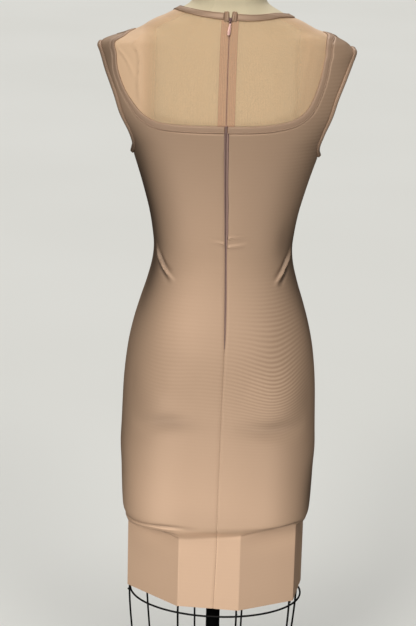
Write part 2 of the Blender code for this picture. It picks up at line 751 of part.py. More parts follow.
def make_slider():
    across, along, thick = SLIDER
    corner = SLIDER_CORNER
    half_x, half_d = across / 2, along / 2
    outline = [
        (-half_x + corner, -half_d), (half_x - corner, -half_d), (half_x, -half_d + corner),
        (half_x, half_d - 2 * corner), (half_x - corner, half_d), (-half_x + corner, half_d),
        (-half_x, half_d - 2 * corner), (-half_x, -half_d + corner),
    ]
    body = extruded(outline, SLIDER_BACK, SLIDER_BACK + thick, (0, 1, 2))
    slider = finish("zip_slider", body, "lacquered zip slider")
    wide, long, high = BRIDGE
    foot, top = SLIDER_BACK + thick / 2, SLIDER_BACK + thick + high
    end, inside = long / 2, long / 2 - BRIDGE_BAR
    arch = [
        (-end, foot), (-end, top - BRIDGE_BAR), (-inside, top), (inside, top),
        (end, top - BRIDGE_BAR), (end, foot), (inside, foot), (inside, top - BRIDGE_BAR),
        (-inside, top - BRIDGE_BAR), (-inside, foot),
    ]
    bridge = finish("bridge", extruded(arch, -wide / 2, wide / 2, (1, 2, 0)), "lacquered zip slider")
    bridge.hide_render = True
    bridge.display_type = "WIRE"
    join = slider.modifiers.new("bridge", "BOOLEAN")
    join.operation = "UNION"
    join.object = bridge
    for piece in (slider, bridge):
        piece.matrix_world = zip_axes()


def make_pull():
    """The tab and its arms are one flat plate with a window that the slider's bridge passes through."""
    inside, outside = TAB_ARM
    mesh = bmesh.new()
    layers = []
    for depth in (-TAB_THICK / 2, TAB_THICK / 2):
        grid = [
            [(x, e) for x in (-outside, -inside, inside, outside)]
            for e in (-PIVOT_RADIUS, PIVOT_RADIUS, TAB_ARM_LENGTH)
        ]
        for e, half in TAB_PROFILE:
            lean = math.tan(math.radians(TAB_LEAN)) * (e - TAB_ARM_LENGTH)
            grid.append([(x + lean, e) for x in (-half, -half / 2, half / 2, half)])
        layers.append([[mesh.verts.new((x * MM, e * MM, depth * MM)) for x, e in row] for row in grid])
    back, face = layers
    window = (1, 1)
    cells = [(r, c) for r in range(len(back) - 1) for c in range(3) if (r, c) != window]
    edges = set()
    for r, c in cells:
        corners = ((r, c), (r, c + 1), (r + 1, c + 1), (r + 1, c))
        mesh.faces.new([face[a][b] for a, b in corners])
        mesh.faces.new([back[a][b] for a, b in reversed(corners)])
        edges |= set(zip(corners, corners[1:] + corners[:1]))
    for first, second in sorted(edges):
        if (second, first) not in edges:
            quad = (face[second[0]][second[1]], face[first[0]][first[1]],
                    back[first[0]][first[1]], back[second[0]][second[1]])
            mesh.faces.new(quad)
    bmesh.ops.recalc_face_normals(mesh, faces=mesh.faces)
    pull = finish("zip_pull", mesh, "rose metal tab")
    rest = Matrix.Rotation(math.radians(-TAB_REST), 4, "X")
    pull.matrix_world = zip_axes() @ Matrix.Translation((0.0, PIVOT[0] * MM, PIVOT[1] * MM)) @ rest


# ---------------------------------------------------------------- the form and its stand
def form_gap(turn, height):
    """How far inside the knit's outer face the form's cover lies."""
    if height < TORSO_GAP_TO:
        return FORM_GAP_TORSO
    turn = (turn + 180) % 360 - 180
    near, far = ZIP_GAP_TO
    under_zip = min(max((far - abs(turn)) / (far - near), 0.0), 1.0)
    return FORM_GAP_BODICE * (1 - under_zip) + FORM_GAP_ZIP * under_zip


def make_form():
    turns = [t for side in (0, 90, 180, 270) for t in stations(side, side + 90.0)[:-1]]
    turns = turns[::-1]
    edge = np.array([form_surface(turn, LEDGE) for turn in turns]) * MM
    rings = [edge * (size, size, 0.0) + (0, 0, height * MM) for height, size in FORM_FOOT]
    for height in FORM_ROWS:
        rings.append([place(turn, height, form_gap(turn, height), form_surface) for turn in turns])
    for height, size in FORM_END:
        neck = [place(turn, height, form_gap(turn, height), form_surface) for turn in turns]
        rings.append([point * (size, size, 1.0) for point in neck])
    rings_to_solid("form_torso", rings, "linen cover")


def cage_point(turn, height, beyond=0.0):
    size = smooth_through(CAGE_TAPER, height)
    half_width, half_depth = (size * (reach - CAGE_INSET) + beyond for reach in CAGE_OVER_CLOTH)
    across = oval(turn, half_width, half_depth, half_depth, 2.0)
    return (across[0] * MM, across[1] * MM, height * MM)


def make_stand():
    top = FORM_FOOT[0][0] - SEAM
    for number, turn in enumerate(WIRE_TURNS):
        path = [cage_point(turn, height) for height in (CAGE_FOOT, *CAGE_BENDS, top)]
        bar(f"cage_wire_{number}", path, "black wire")
    turns = [t for quarter in (0, 90, 180, 270) for t in stations(quarter, quarter + 90.0)[:-1]]
    for word, height in (("upper", HOOP_UPPER), ("lower", CAGE_FOOT + WIRE)):
        ring = [cage_point(turn, height, beyond=WIRE + SEAM) for turn in turns]
        bar("cage_hoop_" + word, ring, "black wire", closed=True)
    radius, thick = FLANGE
    turned("pole_flange", ((radius, top - thick), (radius, top)), "black cast iron", sides=32)
    turned(
        "stand_pole", ((POLE_RADIUS, FOOT_PROFILE[-1][1] + SEAM), (POLE_RADIUS, top - thick - SEAM)),
        "black wire", sides=24,
    )
    turned("stand_base", FOOT_PROFILE, "black cast iron", sides=56)


def main():
    for item in list(bpy.data.objects):
        bpy.data.objects.remove(item, do_unlink=True)
    make_form()
    make_stand()
    make_dress()
    make_slider()
    make_pull()


main()
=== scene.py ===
# %% [markdown]
# # A bodycon dress on a dress form
#
# The dress is a narrow tube of bandage knit with a sheer yoke, bands of doubled knit and a closed-end
# zip down the centre back. It is pulled over a limbless dress form whose torso ends at the hips. Below
# that, a wire cage holds the skirt out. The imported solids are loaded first, as a fixed frame. Each
# piece made here takes the place of one of them, on the same surface and with the finer form of cloth.

# %% Load the frame
import json
import math

import bpy
import numpy as np
from mathutils import Matrix, Vector

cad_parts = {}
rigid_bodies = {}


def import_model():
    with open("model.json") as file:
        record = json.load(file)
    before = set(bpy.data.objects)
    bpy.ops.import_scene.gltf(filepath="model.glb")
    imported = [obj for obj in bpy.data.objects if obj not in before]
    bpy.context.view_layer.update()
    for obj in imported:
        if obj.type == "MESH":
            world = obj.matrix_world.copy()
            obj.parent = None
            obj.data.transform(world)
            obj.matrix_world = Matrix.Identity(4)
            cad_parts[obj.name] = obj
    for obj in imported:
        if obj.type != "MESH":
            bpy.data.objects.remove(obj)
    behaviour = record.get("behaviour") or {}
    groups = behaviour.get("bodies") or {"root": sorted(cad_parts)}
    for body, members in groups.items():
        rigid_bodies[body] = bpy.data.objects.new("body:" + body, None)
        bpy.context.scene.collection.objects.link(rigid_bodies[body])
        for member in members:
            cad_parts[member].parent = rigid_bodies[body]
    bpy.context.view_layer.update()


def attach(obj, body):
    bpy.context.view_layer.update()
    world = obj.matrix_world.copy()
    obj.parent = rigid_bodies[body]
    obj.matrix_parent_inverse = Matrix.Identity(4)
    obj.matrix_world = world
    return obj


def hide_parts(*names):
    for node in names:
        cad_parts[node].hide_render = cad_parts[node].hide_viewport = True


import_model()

MM = 0.001

# %% [markdown]
# ## The camera
# A long lens at eye height, about three metres behind the dress and looking down at it. Its axes are
# worked out from a pitch, a yaw and a small roll, because the camera was held in the hand. With a
# sensor of 36 mm along the long side of the picture, the lens gives the scale.

# %% Camera
CAMERA_AT = (0.036, 3.0, 1.773)
PITCH, YAW, ROLL = (math.radians(angle) for angle in (16.22, -0.25, -1.47))
LENS = 103.0

forward = Vector((math.sin(YAW) * math.cos(PITCH), -math.cos(YAW) * math.cos(PITCH), -math.sin(PITCH)))
level = forward.cross(Vector((0, 0, 1))).normalized()
upright = level.cross(forward)
right = level * math.cos(ROLL) - upright * math.sin(ROLL)
up = upright * math.cos(ROLL) + level * math.sin(ROLL)

bpy.ops.object.camera_add()
camera = bpy.context.object
camera.matrix_world = Matrix.Translation(CAMERA_AT) @ Matrix((right, up, -forward)).transposed().to_4x4()
camera.data.lens = LENS
camera.data.sensor_width = 36.0
bpy.context.scene.camera = camera
print("camera at", CAMERA_AT, "lens", LENS)

# %% [markdown]
# ## The body's surface
# Everything that lies round the body is placed by a *turn*, an angle round the upright axis from the
# centre back, and a *height*. The outer face of the knit is a stack of ovals whose corners fill out as
# their squareness goes up from 2. Below the torso the knit is stretched flat from wire to wire. The
# functions take whole arrays, so that a panel of ten thousand points is placed at once.

# %% The sections, in mm
HEM, CAGED = 392.0, 505.0  # below the second height the knit lies straight from wire to wire
LEDGE_DROP = 8.0  # how much height the knit takes to come in from the torso's edge to the cage
LEDGE_SOFT = (8.0, 26.0, 11.0)  # round this turn, within this reach, it takes this much more height
UNDERARM, SHOULDER_TIP = 1190.0, 1366.0
YOKE_LINE = 1165.0  # up to here a panel is made of level rows
ZIP_END = 877.0  # the zip's lower end
SECTIONS = np.array((  # height, half width, depth at the back, depth at the front, squareness
    (515, 158, 118, 116, 2.3), (533, 163, 122.5, 120, 2.3), (545, 166.5, 126, 123, 2.3),
    (560, 168, 127.5, 124, 2.3), (590, 169.4, 128.5, 124, 2.3), (628, 170.6, 129.5, 123, 2.3),
    (665, 172.4, 130.5, 122, 2.3), (704, 171, 131.5, 120, 2.3), (741, 169.8, 132, 118, 2.3),
    (778, 168.3, 131.5, 116, 2.3), (815, 165.2, 128.5, 114, 2.3), (852, 160.2, 121.5, 112, 2.3),
    (888, 152.4, 111.5, 109, 2.25), (925, 141.8, 100, 105, 2.2), (961, 130.4, 90, 100, 2.2),
    (997, 121.6, 83, 96, 2.15), (1023, 119.4, 80.5, 95, 2.15), (1050, 122, 81.5, 98, 2.15),
    (1085, 128, 86, 108, 2.2), (1120, 137, 92, 121, 2.25), (1155, 147.2, 98.5, 131, 2.3),
    (1190, 158.8, 104, 136, 2.35), (1207, 165.8, 105.5, 136, 2.35), (1225, 178, 107, 134, 2.35),
    (1258, 203.2, 107.5, 126, 2.35), (1292, 217.6, 104.5, 117, 2.24), (1326, 222.8, 99, 108, 2.13),
    (1358, 216, 92.5, 99, 2.03), (1366, 212.4, 90.5, 96.5, 2), (1376, 203.7, 88, 93, 2),
    (1382.5, 189.4, 85.8, 90.5, 2), (1389, 173.4, 83.5, 88, 2), (1396, 150.8, 81, 85, 2),
    (1402.5, 137.4, 78.8, 82, 2), (1410, 123.2, 76, 78.5, 2), (1416, 109, 74, 75, 2),
    (1422.5, 96.4, 71.4, 71.5, 2), (1428.5, 85, 69, 68, 2), (1434, 75, 65, 64, 2),
    (1440, 66.5, 62, 61.5, 2), (1448, 62.5, 60.5, 60, 2), (1460, 61, 60, 59.5, 2),
    (1500, 60.5, 59, 59, 2),
))
FORM_SHOULDERS = np.array((  # height, half width of the form where the straps stand out past it
    (1155, 147.2), (1190, 155.8), (1225, 161), (1260, 166.5), (1300, 171), (1340, 173.5), (1362, 175),
    (1376, 173), (1384, 169), (1390, 162.5), (1396, 149), (1402.5, 136.6), (1409, 124), (1416, 108.5),
    (1424, 93), (1434, 75),
))
LEDGE_LINE = np.array((  # turn, height where the knit leaves the torso, from the middle of the front
    (-180, 535), (-130, 534), (-105, 528), (-88, 524), (-72, 532), (-55, 540), (-20, 541), (2, 541.5),
    (12, 539), (22, 534), (33, 533), (51, 530), (67, 525), (88, 520), (105, 524), (135, 533), (160, 535),
    (180, 535),
))
WIRE_TURNS = (-99.2, -61.6, -15.0, 24.3, 82.3, 125.9, 166.8, 202.3)
WIRES = np.array(sorted(turn % 360 for turn in WIRE_TURNS))
CAGE_OVER_CLOTH = (158.0, 118.7)  # half width and half depth over the cloth that is stretched on it
SKIRT_PULLED = -1.8  # how far the skirt is pulled to the right on the cage
SIDE_TRIM = {  # height, what each side adds to the half width where the dress sits unevenly
    1: np.array(((1300, 0), (1340, 0.5), (1358, 3), (1366, 4.6), (1371, 2.6), (1377, -3), (1383, -9.5),
                 (1390, -10.5), (1396, -4), (1404, 0))),
    -1: np.array(((1225, 0), (1258, -3.5), (1292, -4.6), (1326, -4.6), (1346, -2.6), (1359, 0),
                  (1366, -2), (1374, -5.5), (1380, -4), (1388, 0))),
}
SIDES = ((1, "left"), (-1, "right"))
print("sections:", len(SECTIONS), "wires:", len(WIRES))


# %% Small tools for numbers
def unit(value):
    return np.clip(value, 0.0, 1.0)


def bell(value):
    """One in the middle, and next to nothing beyond two."""
    return np.exp(-(value ** 2))


def wrapped(turn):
    """The same turn, between -180 and 180."""
    return (turn + 180) % 360 - 180


def as_arrays(*values):
    """The values as arrays of floats, all of one shape."""
    return np.broadcast_arrays(*(np.asarray(value, float) for value in values))


def unit_vectors(vectors):
    return vectors / np.linalg.norm(vectors, axis=-1, keepdims=True)


print("a bell at its middle, and one and two widths out:", bell(np.arange(3.0)).round(3))


# %% Smooth tables and the surface itself
def smooth_through(rows, x, column=1):
    """The value at each x of a smooth curve through the rows that never swings past them."""
    xs, ys = rows[:, 0], rows[:, column]
    spans = np.diff(xs)
    steps = np.diff(ys) / spans
    tangents = np.concatenate((steps[:1], (steps[1:] + steps[:-1]) / 2, steps[-1:]))
    tangents[1:-1][steps[1:] * steps[:-1] <= 0] = 0.0
    limit = 3 * np.minimum(np.abs(steps[1:]), np.abs(steps[:-1]))
    tangents[1:-1] = np.clip(tangents[1:-1], -limit, limit)
    x = np.clip(x, xs[0], xs[-1])
    k = np.clip(np.searchsorted(xs, x, side="right") - 1, 0, len(spans) - 1)
    t, span = (x - xs[k]) / spans[k], spans[k]
    low = (1 + 2 * t) * (1 - t) ** 2 * ys[k] + t * (1 - t) ** 2 * span * tangents[k]
    return low + t * t * (3 - 2 * t) * ys[k + 1] + t * t * (t - 1) * span * tangents[k + 1]


def oval(turn, half_width, back, front, squareness):
    sine, cosine = np.sin(np.radians(turn)), np.cos(np.radians(turn))
    power = 2 / squareness
    depth = np.where(cosine > 0, back, front)
    return (
        half_width * np.sign(sine) * np.abs(sine) ** power,
        depth * np.sign(cosine) * np.abs(cosine) ** power,
    )


def on_cage(turn):
    """The straight run of cloth between the two wires on either side of each turn."""
    stops = np.append(WIRES, WIRES[0] + 360)
    turn = (turn - stops[0]) % 360 + stops[0]
    half_width, half_depth = CAGE_OVER_CLOTH
    corners = oval(stops, half_width, half_depth, half_depth, 2.0)
    corners = (corners[0] * (1 - SKIRT_PULLED / half_width) + SKIRT_PULLED, corners[1])
    return tuple(np.interp(turn, stops, corner) for corner in corners)


def surface(turn, height):
    """Points of the knit's outer face, in mm, one for each turn and height."""
    turn, height = as_arrays(turn, height)
    kept = np.maximum(height, SECTIONS[0, 0])
    half_width, back, front, squareness = (smooth_through(SECTIONS, kept, k) for k in range(1, 5))
    left = np.sin(np.radians(turn)) > 0
    half_width = half_width + np.where(left, *(smooth_through(SIDE_TRIM[k], height) for k in (1, -1)))
    x, y = oval(turn, half_width, back, front, squareness)
    leaves = smooth_through(LEDGE_LINE, wrapped(turn))
    middle, reach, more = LEDGE_SOFT
    drop = LEDGE_DROP + more * bell(wrapped(turn - middle) / reach)
    share = unit((leaves - height) / drop)
    share = share * share * (3 - 2 * share)
    flat_x, flat_y = on_cage(turn)
    return np.stack((x + (flat_x - x) * share, y + (flat_y - y) * share, height), axis=-1)


def form_surface(turn, height):
    """The same for the form, whose shoulders are its own."""
    turn, height = as_arrays(turn, height)
    half_width, back, front, squareness = (smooth_through(SECTIONS, height, k) for k in range(1, 5))
    shoulders = smooth_through(FORM_SHOULDERS, height)
    inside = (height > FORM_SHOULDERS[0, 0]) & (height < FORM_SHOULDERS[-1, 0])
    half_width = np.where(inside, np.minimum(half_width, shoulders), half_width)
    return np.stack((*oval(turn, half_width, back, front, squareness), height), axis=-1)


def slopes(turn, height, of=surface):
    """How a point moves for a degree of turn and for a millimetre of height."""
    step_turn, step_height = 0.4, 0.6  # in degrees and in mm, to either side
    along = (of(turn + step_turn, height) - of(turn - step_turn, height)) / (2 * step_turn)
    rise = (of(turn, height + step_height) - of(turn, height - step_height)) / (2 * step_height)
    return along, rise


def outwards(turn, height, of=surface):
    along, rise = slopes(turn, height, of)
    return unit_vectors(np.cross(rise, along))


def place(turn, height, offset, of=surface):
    """The points this far out from the surface, in mm."""
    return of(turn, height) + np.asarray(offset)[..., None] * outwards(turn, height, of)


print("surface at the seat:", surface(0.0, 740.0).round(1), "at the waist:", surface(0.0, 1023.0).round(1))

# %% [markdown]
# ## Lines on the surface
# A seam is a curve of (turn, height) pairs. Three tools are enough to draw all the lines of the cut: a
# step round the body by so many millimetres, a curve moved sideways along the surface, which is how an
# edge turns into the two sides of a band, and a curve pinned to fixed ends.


# %% Steps, moved curves and pinned ends
HALVINGS = 36  # these find a turn to far less than a thread's width
TURNS_TRIED = (-6.0, 90.0)  # one half of the back, and a little past its middle
LONGEST_STEP = 14.0  # degrees
MOVING_STEPS, MOVING_SHARE = 9, 0.8  # how often a moved point is set right, and how far each time


def halve(function, low, high):
    """Where a rising function passes zero, for whole arrays."""
    for _ in range(HALVINGS):
        middle = (low + high) / 2
        under = function(middle) < 0
        low, high = np.where(under, middle, low), np.where(under, high, middle)
    return (low + high) / 2


def turn_at(x, height, front=False):
    """The turn of the point of the back, or of the front, that stands at this x."""
    x, height = as_arrays(x, height)
    side = np.where(x >= 0, 1.0, -1.0)
    low, high = (np.full(x.shape, turn) for turn in TURNS_TRIED)
    turn = side * halve(lambda t: side * surface(side * t, height)[..., 0] - np.abs(x), low, high)
    return 180.0 - turn if front else turn


def step_round(turn, height, distance):
    """The turn that lies this far along the section, in mm, towards greater turns."""
    turn, height, distance = as_arrays(turn, height, distance)
    start, way = surface(turn, height), np.where(distance >= 0, 1.0, -1.0)

    def short_of(t):
        return np.linalg.norm(surface(turn + way * t, height) - start, axis=-1) - np.abs(distance)

    return turn + way * halve(short_of, np.zeros(turn.shape), np.full(turn.shape, LONGEST_STEP))


def lengths_of(curve):
    """How far along it, in mm, each point of a curve of (turn, height) pairs lies."""
    points = surface(curve[:, 0], curve[:, 1])
    return np.concatenate(([0.0], np.cumsum(np.linalg.norm(np.diff(points, axis=0), axis=1))))


def fine_line(points, pieces):
    """A smooth curve through a few (turn, height) pairs, cut into equal lengths."""
    points = np.array(points, float)
    lengths = lengths_of(points)
    at = np.linspace(0.0, lengths[-1], pieces + 1)
    return np.stack([smooth_through(np.column_stack((lengths, points[:, k])), at) for k in (0, 1)], axis=1)


def resampled(curve, shares):
    own = lengths_of(curve)
    return np.stack([np.interp(shares, own / own[-1], curve[:, k]) for k in (0, 1)], axis=1)


def moved(curve, distance, closed=False):
    """A curve moved sideways along the surface by this many mm."""
    points = surface(curve[:, 0], curve[:, 1])
    tangents = np.roll(points, -1, 0) - np.roll(points, 1, 0) if closed else np.gradient(points, axis=0)
    sideways = unit_vectors(np.cross(outwards(curve[:, 0], curve[:, 1]), tangents))
    target = points + np.asarray(distance)[..., None] * sideways
    turn, height = curve[:, 0].copy(), curve[:, 1].copy()
    for _ in range(MOVING_STEPS):
        off = target - surface(turn, height)
        along, rise = slopes(turn, height)
        a, b, c = (along * along).sum(1), (along * rise).sum(1), (rise * rise).sum(1)
        p, q = (along * off).sum(1), (rise * off).sum(1)
        inverse = MOVING_SHARE / (a * c - b * b)
        turn, height = turn + (c * p - b * q) * inverse, height + (a * q - b * p) * inverse
    return np.stack((turn, height), axis=1)


def pinned(curve, start=None, end=None, reach=26.0):
    """The curve with its ends brought to fixed points, and what lies within reach of them eased along."""
    curve, lengths = curve.copy(), lengths_of(curve)
    for target, k, away in ((start, 0, lengths), (end, -1, lengths[-1] - lengths)):
        if target is not None:
            share = unit(1 - away / reach) ** 2
            curve += share[:, None] * (np.array(target) - curve[k])
    return curve


def between(start, end, shares):
    return np.asarray(start) * (1 - shares[:, None]) + np.asarray(end) * shares[:, None]


one_degree = np.linalg.norm(surface(40.0, 740.0) - surface(41.0, 740.0))
print("one degree at the hips is", one_degree.round(2), "mm")

# %% [markdown]
# ## The lines of the cut
# The centre back seam wanders a little, and the closed zip shows between its two edges. The yoke's edge
# runs across the back and curls up over the shoulder. The dress sits a few millimetres to the left on
# the shoulders, so its two sides differ.

# %% Seams, yoke and neckline, in mm
CENTRE_BACK = np.array((  # height, how far the seam stands off the upright axis
    (392, 1.3), (500, -1.6), (600, -2), (700, -3), (800, -4.3), (880, -5.9), (1050, -3), (1160, 0),
    (1260, 1.5), (1390, 0.3), (1430, -1.5),
))
ZIP_SLOT = np.array((  # height, how much closed zip shows to the left and to the right of the seam
    (868, 0.15, 0.15), (877, 0.6, 0.9), (890, 0.9, 1.6), (950, 1.3, 2.4), (1030, 1.3, 2.7),
    (1050, 1.6, 3.6), (1066, 2, 4.8), (1085, 1.9, 4.7), (1110, 2.2, 5.2), (1150, 2.4, 4.6),
    (1200, 3, 4.9), (1245, 3.2, 5.2),
))
MESH_SLOT, BAND_SLOT, NECKBAND_SLOT = 1.0, 3.0, 11.6  # how far each stays off the centre back
YOKE_BACK_LEFT = np.array((  # distance from the middle, height
    (0, 1237), (52, 1236.6), (98, 1237.4), (125, 1242.6), (144.5, 1253.5), (159, 1270.5), (172, 1290.5),
    (182, 1311), (190, 1338), (193, 1361), (191, 1376),
))
YOKE_BACK_RIGHT = np.array((
    (0, 1237), (40, 1237.8), (80, 1241), (115.5, 1249.8), (134.5, 1262.5), (147, 1279.5), (155.4, 1300),
    (162.2, 1321.7), (165.9, 1339.7), (168.7, 1355.3), (170.2, 1370.7), (171.8, 1380.6),
))
YOKE_FRONT = np.array((
    (0, 1226), (50, 1227.5), (90, 1234), (117, 1247), (137, 1268), (152, 1296), (166, 1330), (177, 1362),
))
LEFT_BAND_TURNED = ((1250.0, 1290.0, 1372.0, 1386.0), (1.0, 0.66, 0.62, 1.0))  # height, share of its width
YOKE_AT_SHOULDER = {+1: (1386.5, 1391.7), -1: (1389.8, 1393.9)}  # the band's outer and inner edge there
NECKLINE = np.array((  # turn, height of the neckband's upper edge
    (-180, 1390), (-170, 1391), (-160, 1396), (-150, 1402.5), (-140, 1409), (-130, 1413.5), (-115, 1418),
    (-90, 1421.5), (-55, 1427), (-28, 1426.5), (0, 1428.5), (30, 1430.5), (60, 1432), (90, 1431),
    (105, 1428), (120, 1422), (130, 1417), (140, 1411), (150, 1403), (160, 1396), (170, 1391),
    (180, 1390),
))
ARMHOLE_OPENING, ARMHOLE_SQUARENESS = 32.0, (2.2, 1.75)
SEAM = 0.3  # the gap between two pieces
YOKE_BAND, NECKBAND, BINDING = 12.0, 11.5, 6.5  # the strips' widths
QUARTERS = ((1, False), (1, True), (-1, True), (-1, False))  # side, front, as turns grow from 0
ARMHOLE_PIECES, UNDERARM_ROWS = 40, 16  # the pieces of half an armhole, and how many lie below the strap
YOKE_PIECES = 150
EVENED = 3  # how often a moved yoke edge is evened out


def centre_back(height):
    return turn_at(smooth_through(CENTRE_BACK, height), height)


def zip_edge(height, side, slot):
    """The turn of a cut edge beside the zip, this far from the centre back seam."""
    return step_round(centre_back(height), height, side * np.asarray(slot))


def side_turn(side, front):
    return 270.0 if front and side < 0 else side * 90.0


def beside_seam(height, side, front, away=SEAM / 2):
    """The turn this far from the side seam or the shoulder line, on the back's or the front's side."""
    return step_round(side_turn(side, front), height, away * (side if front else -side))


def centre_line(height, side, front, away=0.0):
    """The turn this far from the cut edge at the centre back, or from the middle of the front."""
    if front:
        return step_round(180.0, height, -side * away)
    return zip_edge(height, side, smooth_through(ZIP_SLOT, height, 1 if side > 0 else 2) + away)


def armhole(side):
    """The armhole's edge as a closed curve: from the underarm up the back, and down the front."""
    middle, half = (SHOULDER_TIP + UNDERARM) / 2, (SHOULDER_TIP - UNDERARM) / 2
    angle = -math.pi / 2 + math.pi * np.arange(2 * ARMHOLE_PIECES) / ARMHOLE_PIECES
    rise, spread = np.sin(angle), np.cos(angle)
    lower, upper = ARMHOLE_SQUARENESS
    power = 2 / np.where(rise > 0, upper, lower)
    height = middle + half * np.sign(rise) * np.abs(rise) ** power
    opening = ARMHOLE_OPENING * np.sign(spread) * np.abs(spread) ** power
    return np.stack((side * (90.0 - opening), height), axis=1)


def strap_edge(side, front):
    """The edge beside the binding, from the underarm up to the shoulder line."""
    ring = moved(armhole(side), -side * (BINDING + SEAM), closed=True)
    if front:
        ring = np.concatenate((ring[:1], ring[: ARMHOLE_PIECES - 1 : -1]))
        ring[:, 0] %= 360
    else:
        ring = ring[: ARMHOLE_PIECES + 1]
    for k in (0, -1):
        ring[k, 0] = beside_seam(ring[k, 1], side, front)
    return ring


def yoke_edge(side, front):
    """The yoke's outer edge from the centre line out to the shoulder line."""
    table = YOKE_FRONT if front else (YOKE_BACK_LEFT if side > 0 else YOKE_BACK_RIGHT)
    curve = np.stack((turn_at(side * table[:, 0], table[:, 1], front), table[:, 1]), axis=1)
    if not front:
        curve[0, 0] = centre_back(curve[0, 1])
    end = (side_turn(side, front), YOKE_AT_SHOULDER[side][0])
    return fine_line(np.concatenate((curve, [end])), YOKE_PIECES)


def beside_yoke(side, front, inwards, slot=None):
    """The yoke's edge moved this far towards the neck, between the centre and the shoulder line."""
    curve = yoke_edge(side, front)
    if side > 0 and not front:
        # Pulled to this side, the left strap turns its band half on edge.
        inwards_here = inwards * np.interp(curve[:, 1], *LEFT_BAND_TURNED)
    else:
        inwards_here = inwards
    curve = moved(curve, inwards_here * (side if front else -side))
    for _ in range(EVENED):
        curve[1:-1] = (curve[:-2] + 2 * curve[1:-1] + curve[2:]) / 4
    outer, inner = YOKE_AT_SHOULDER[side]
    height = outer + (inner - outer) * inwards / YOKE_BAND
    start = (180.0, YOKE_FRONT[0, 1] + inwards)
    if not front:
        start = (zip_edge(curve[0, 1], side, slot or 0.0), curve[0, 1])
    return pinned(curve, start, (beside_seam(height, side, front), height))


def neck_line(below, pieces=240):
    """The neckline all the way round from the centre back, moved this far down."""
    turns = np.linspace(0.0, 360.0, pieces, endpoint=False)
    curve = np.stack((turns, smooth_through(NECKLINE, wrapped(turns))), axis=1)
    curve = moved(curve, below, closed=True)
    return np.concatenate((curve, curve[:1] + (360.0, 0.0)))


for side, word in SIDES:
    print(word, "back yoke edge:", lengths_of(yoke_edge(side, False))[-1].round(), "mm")
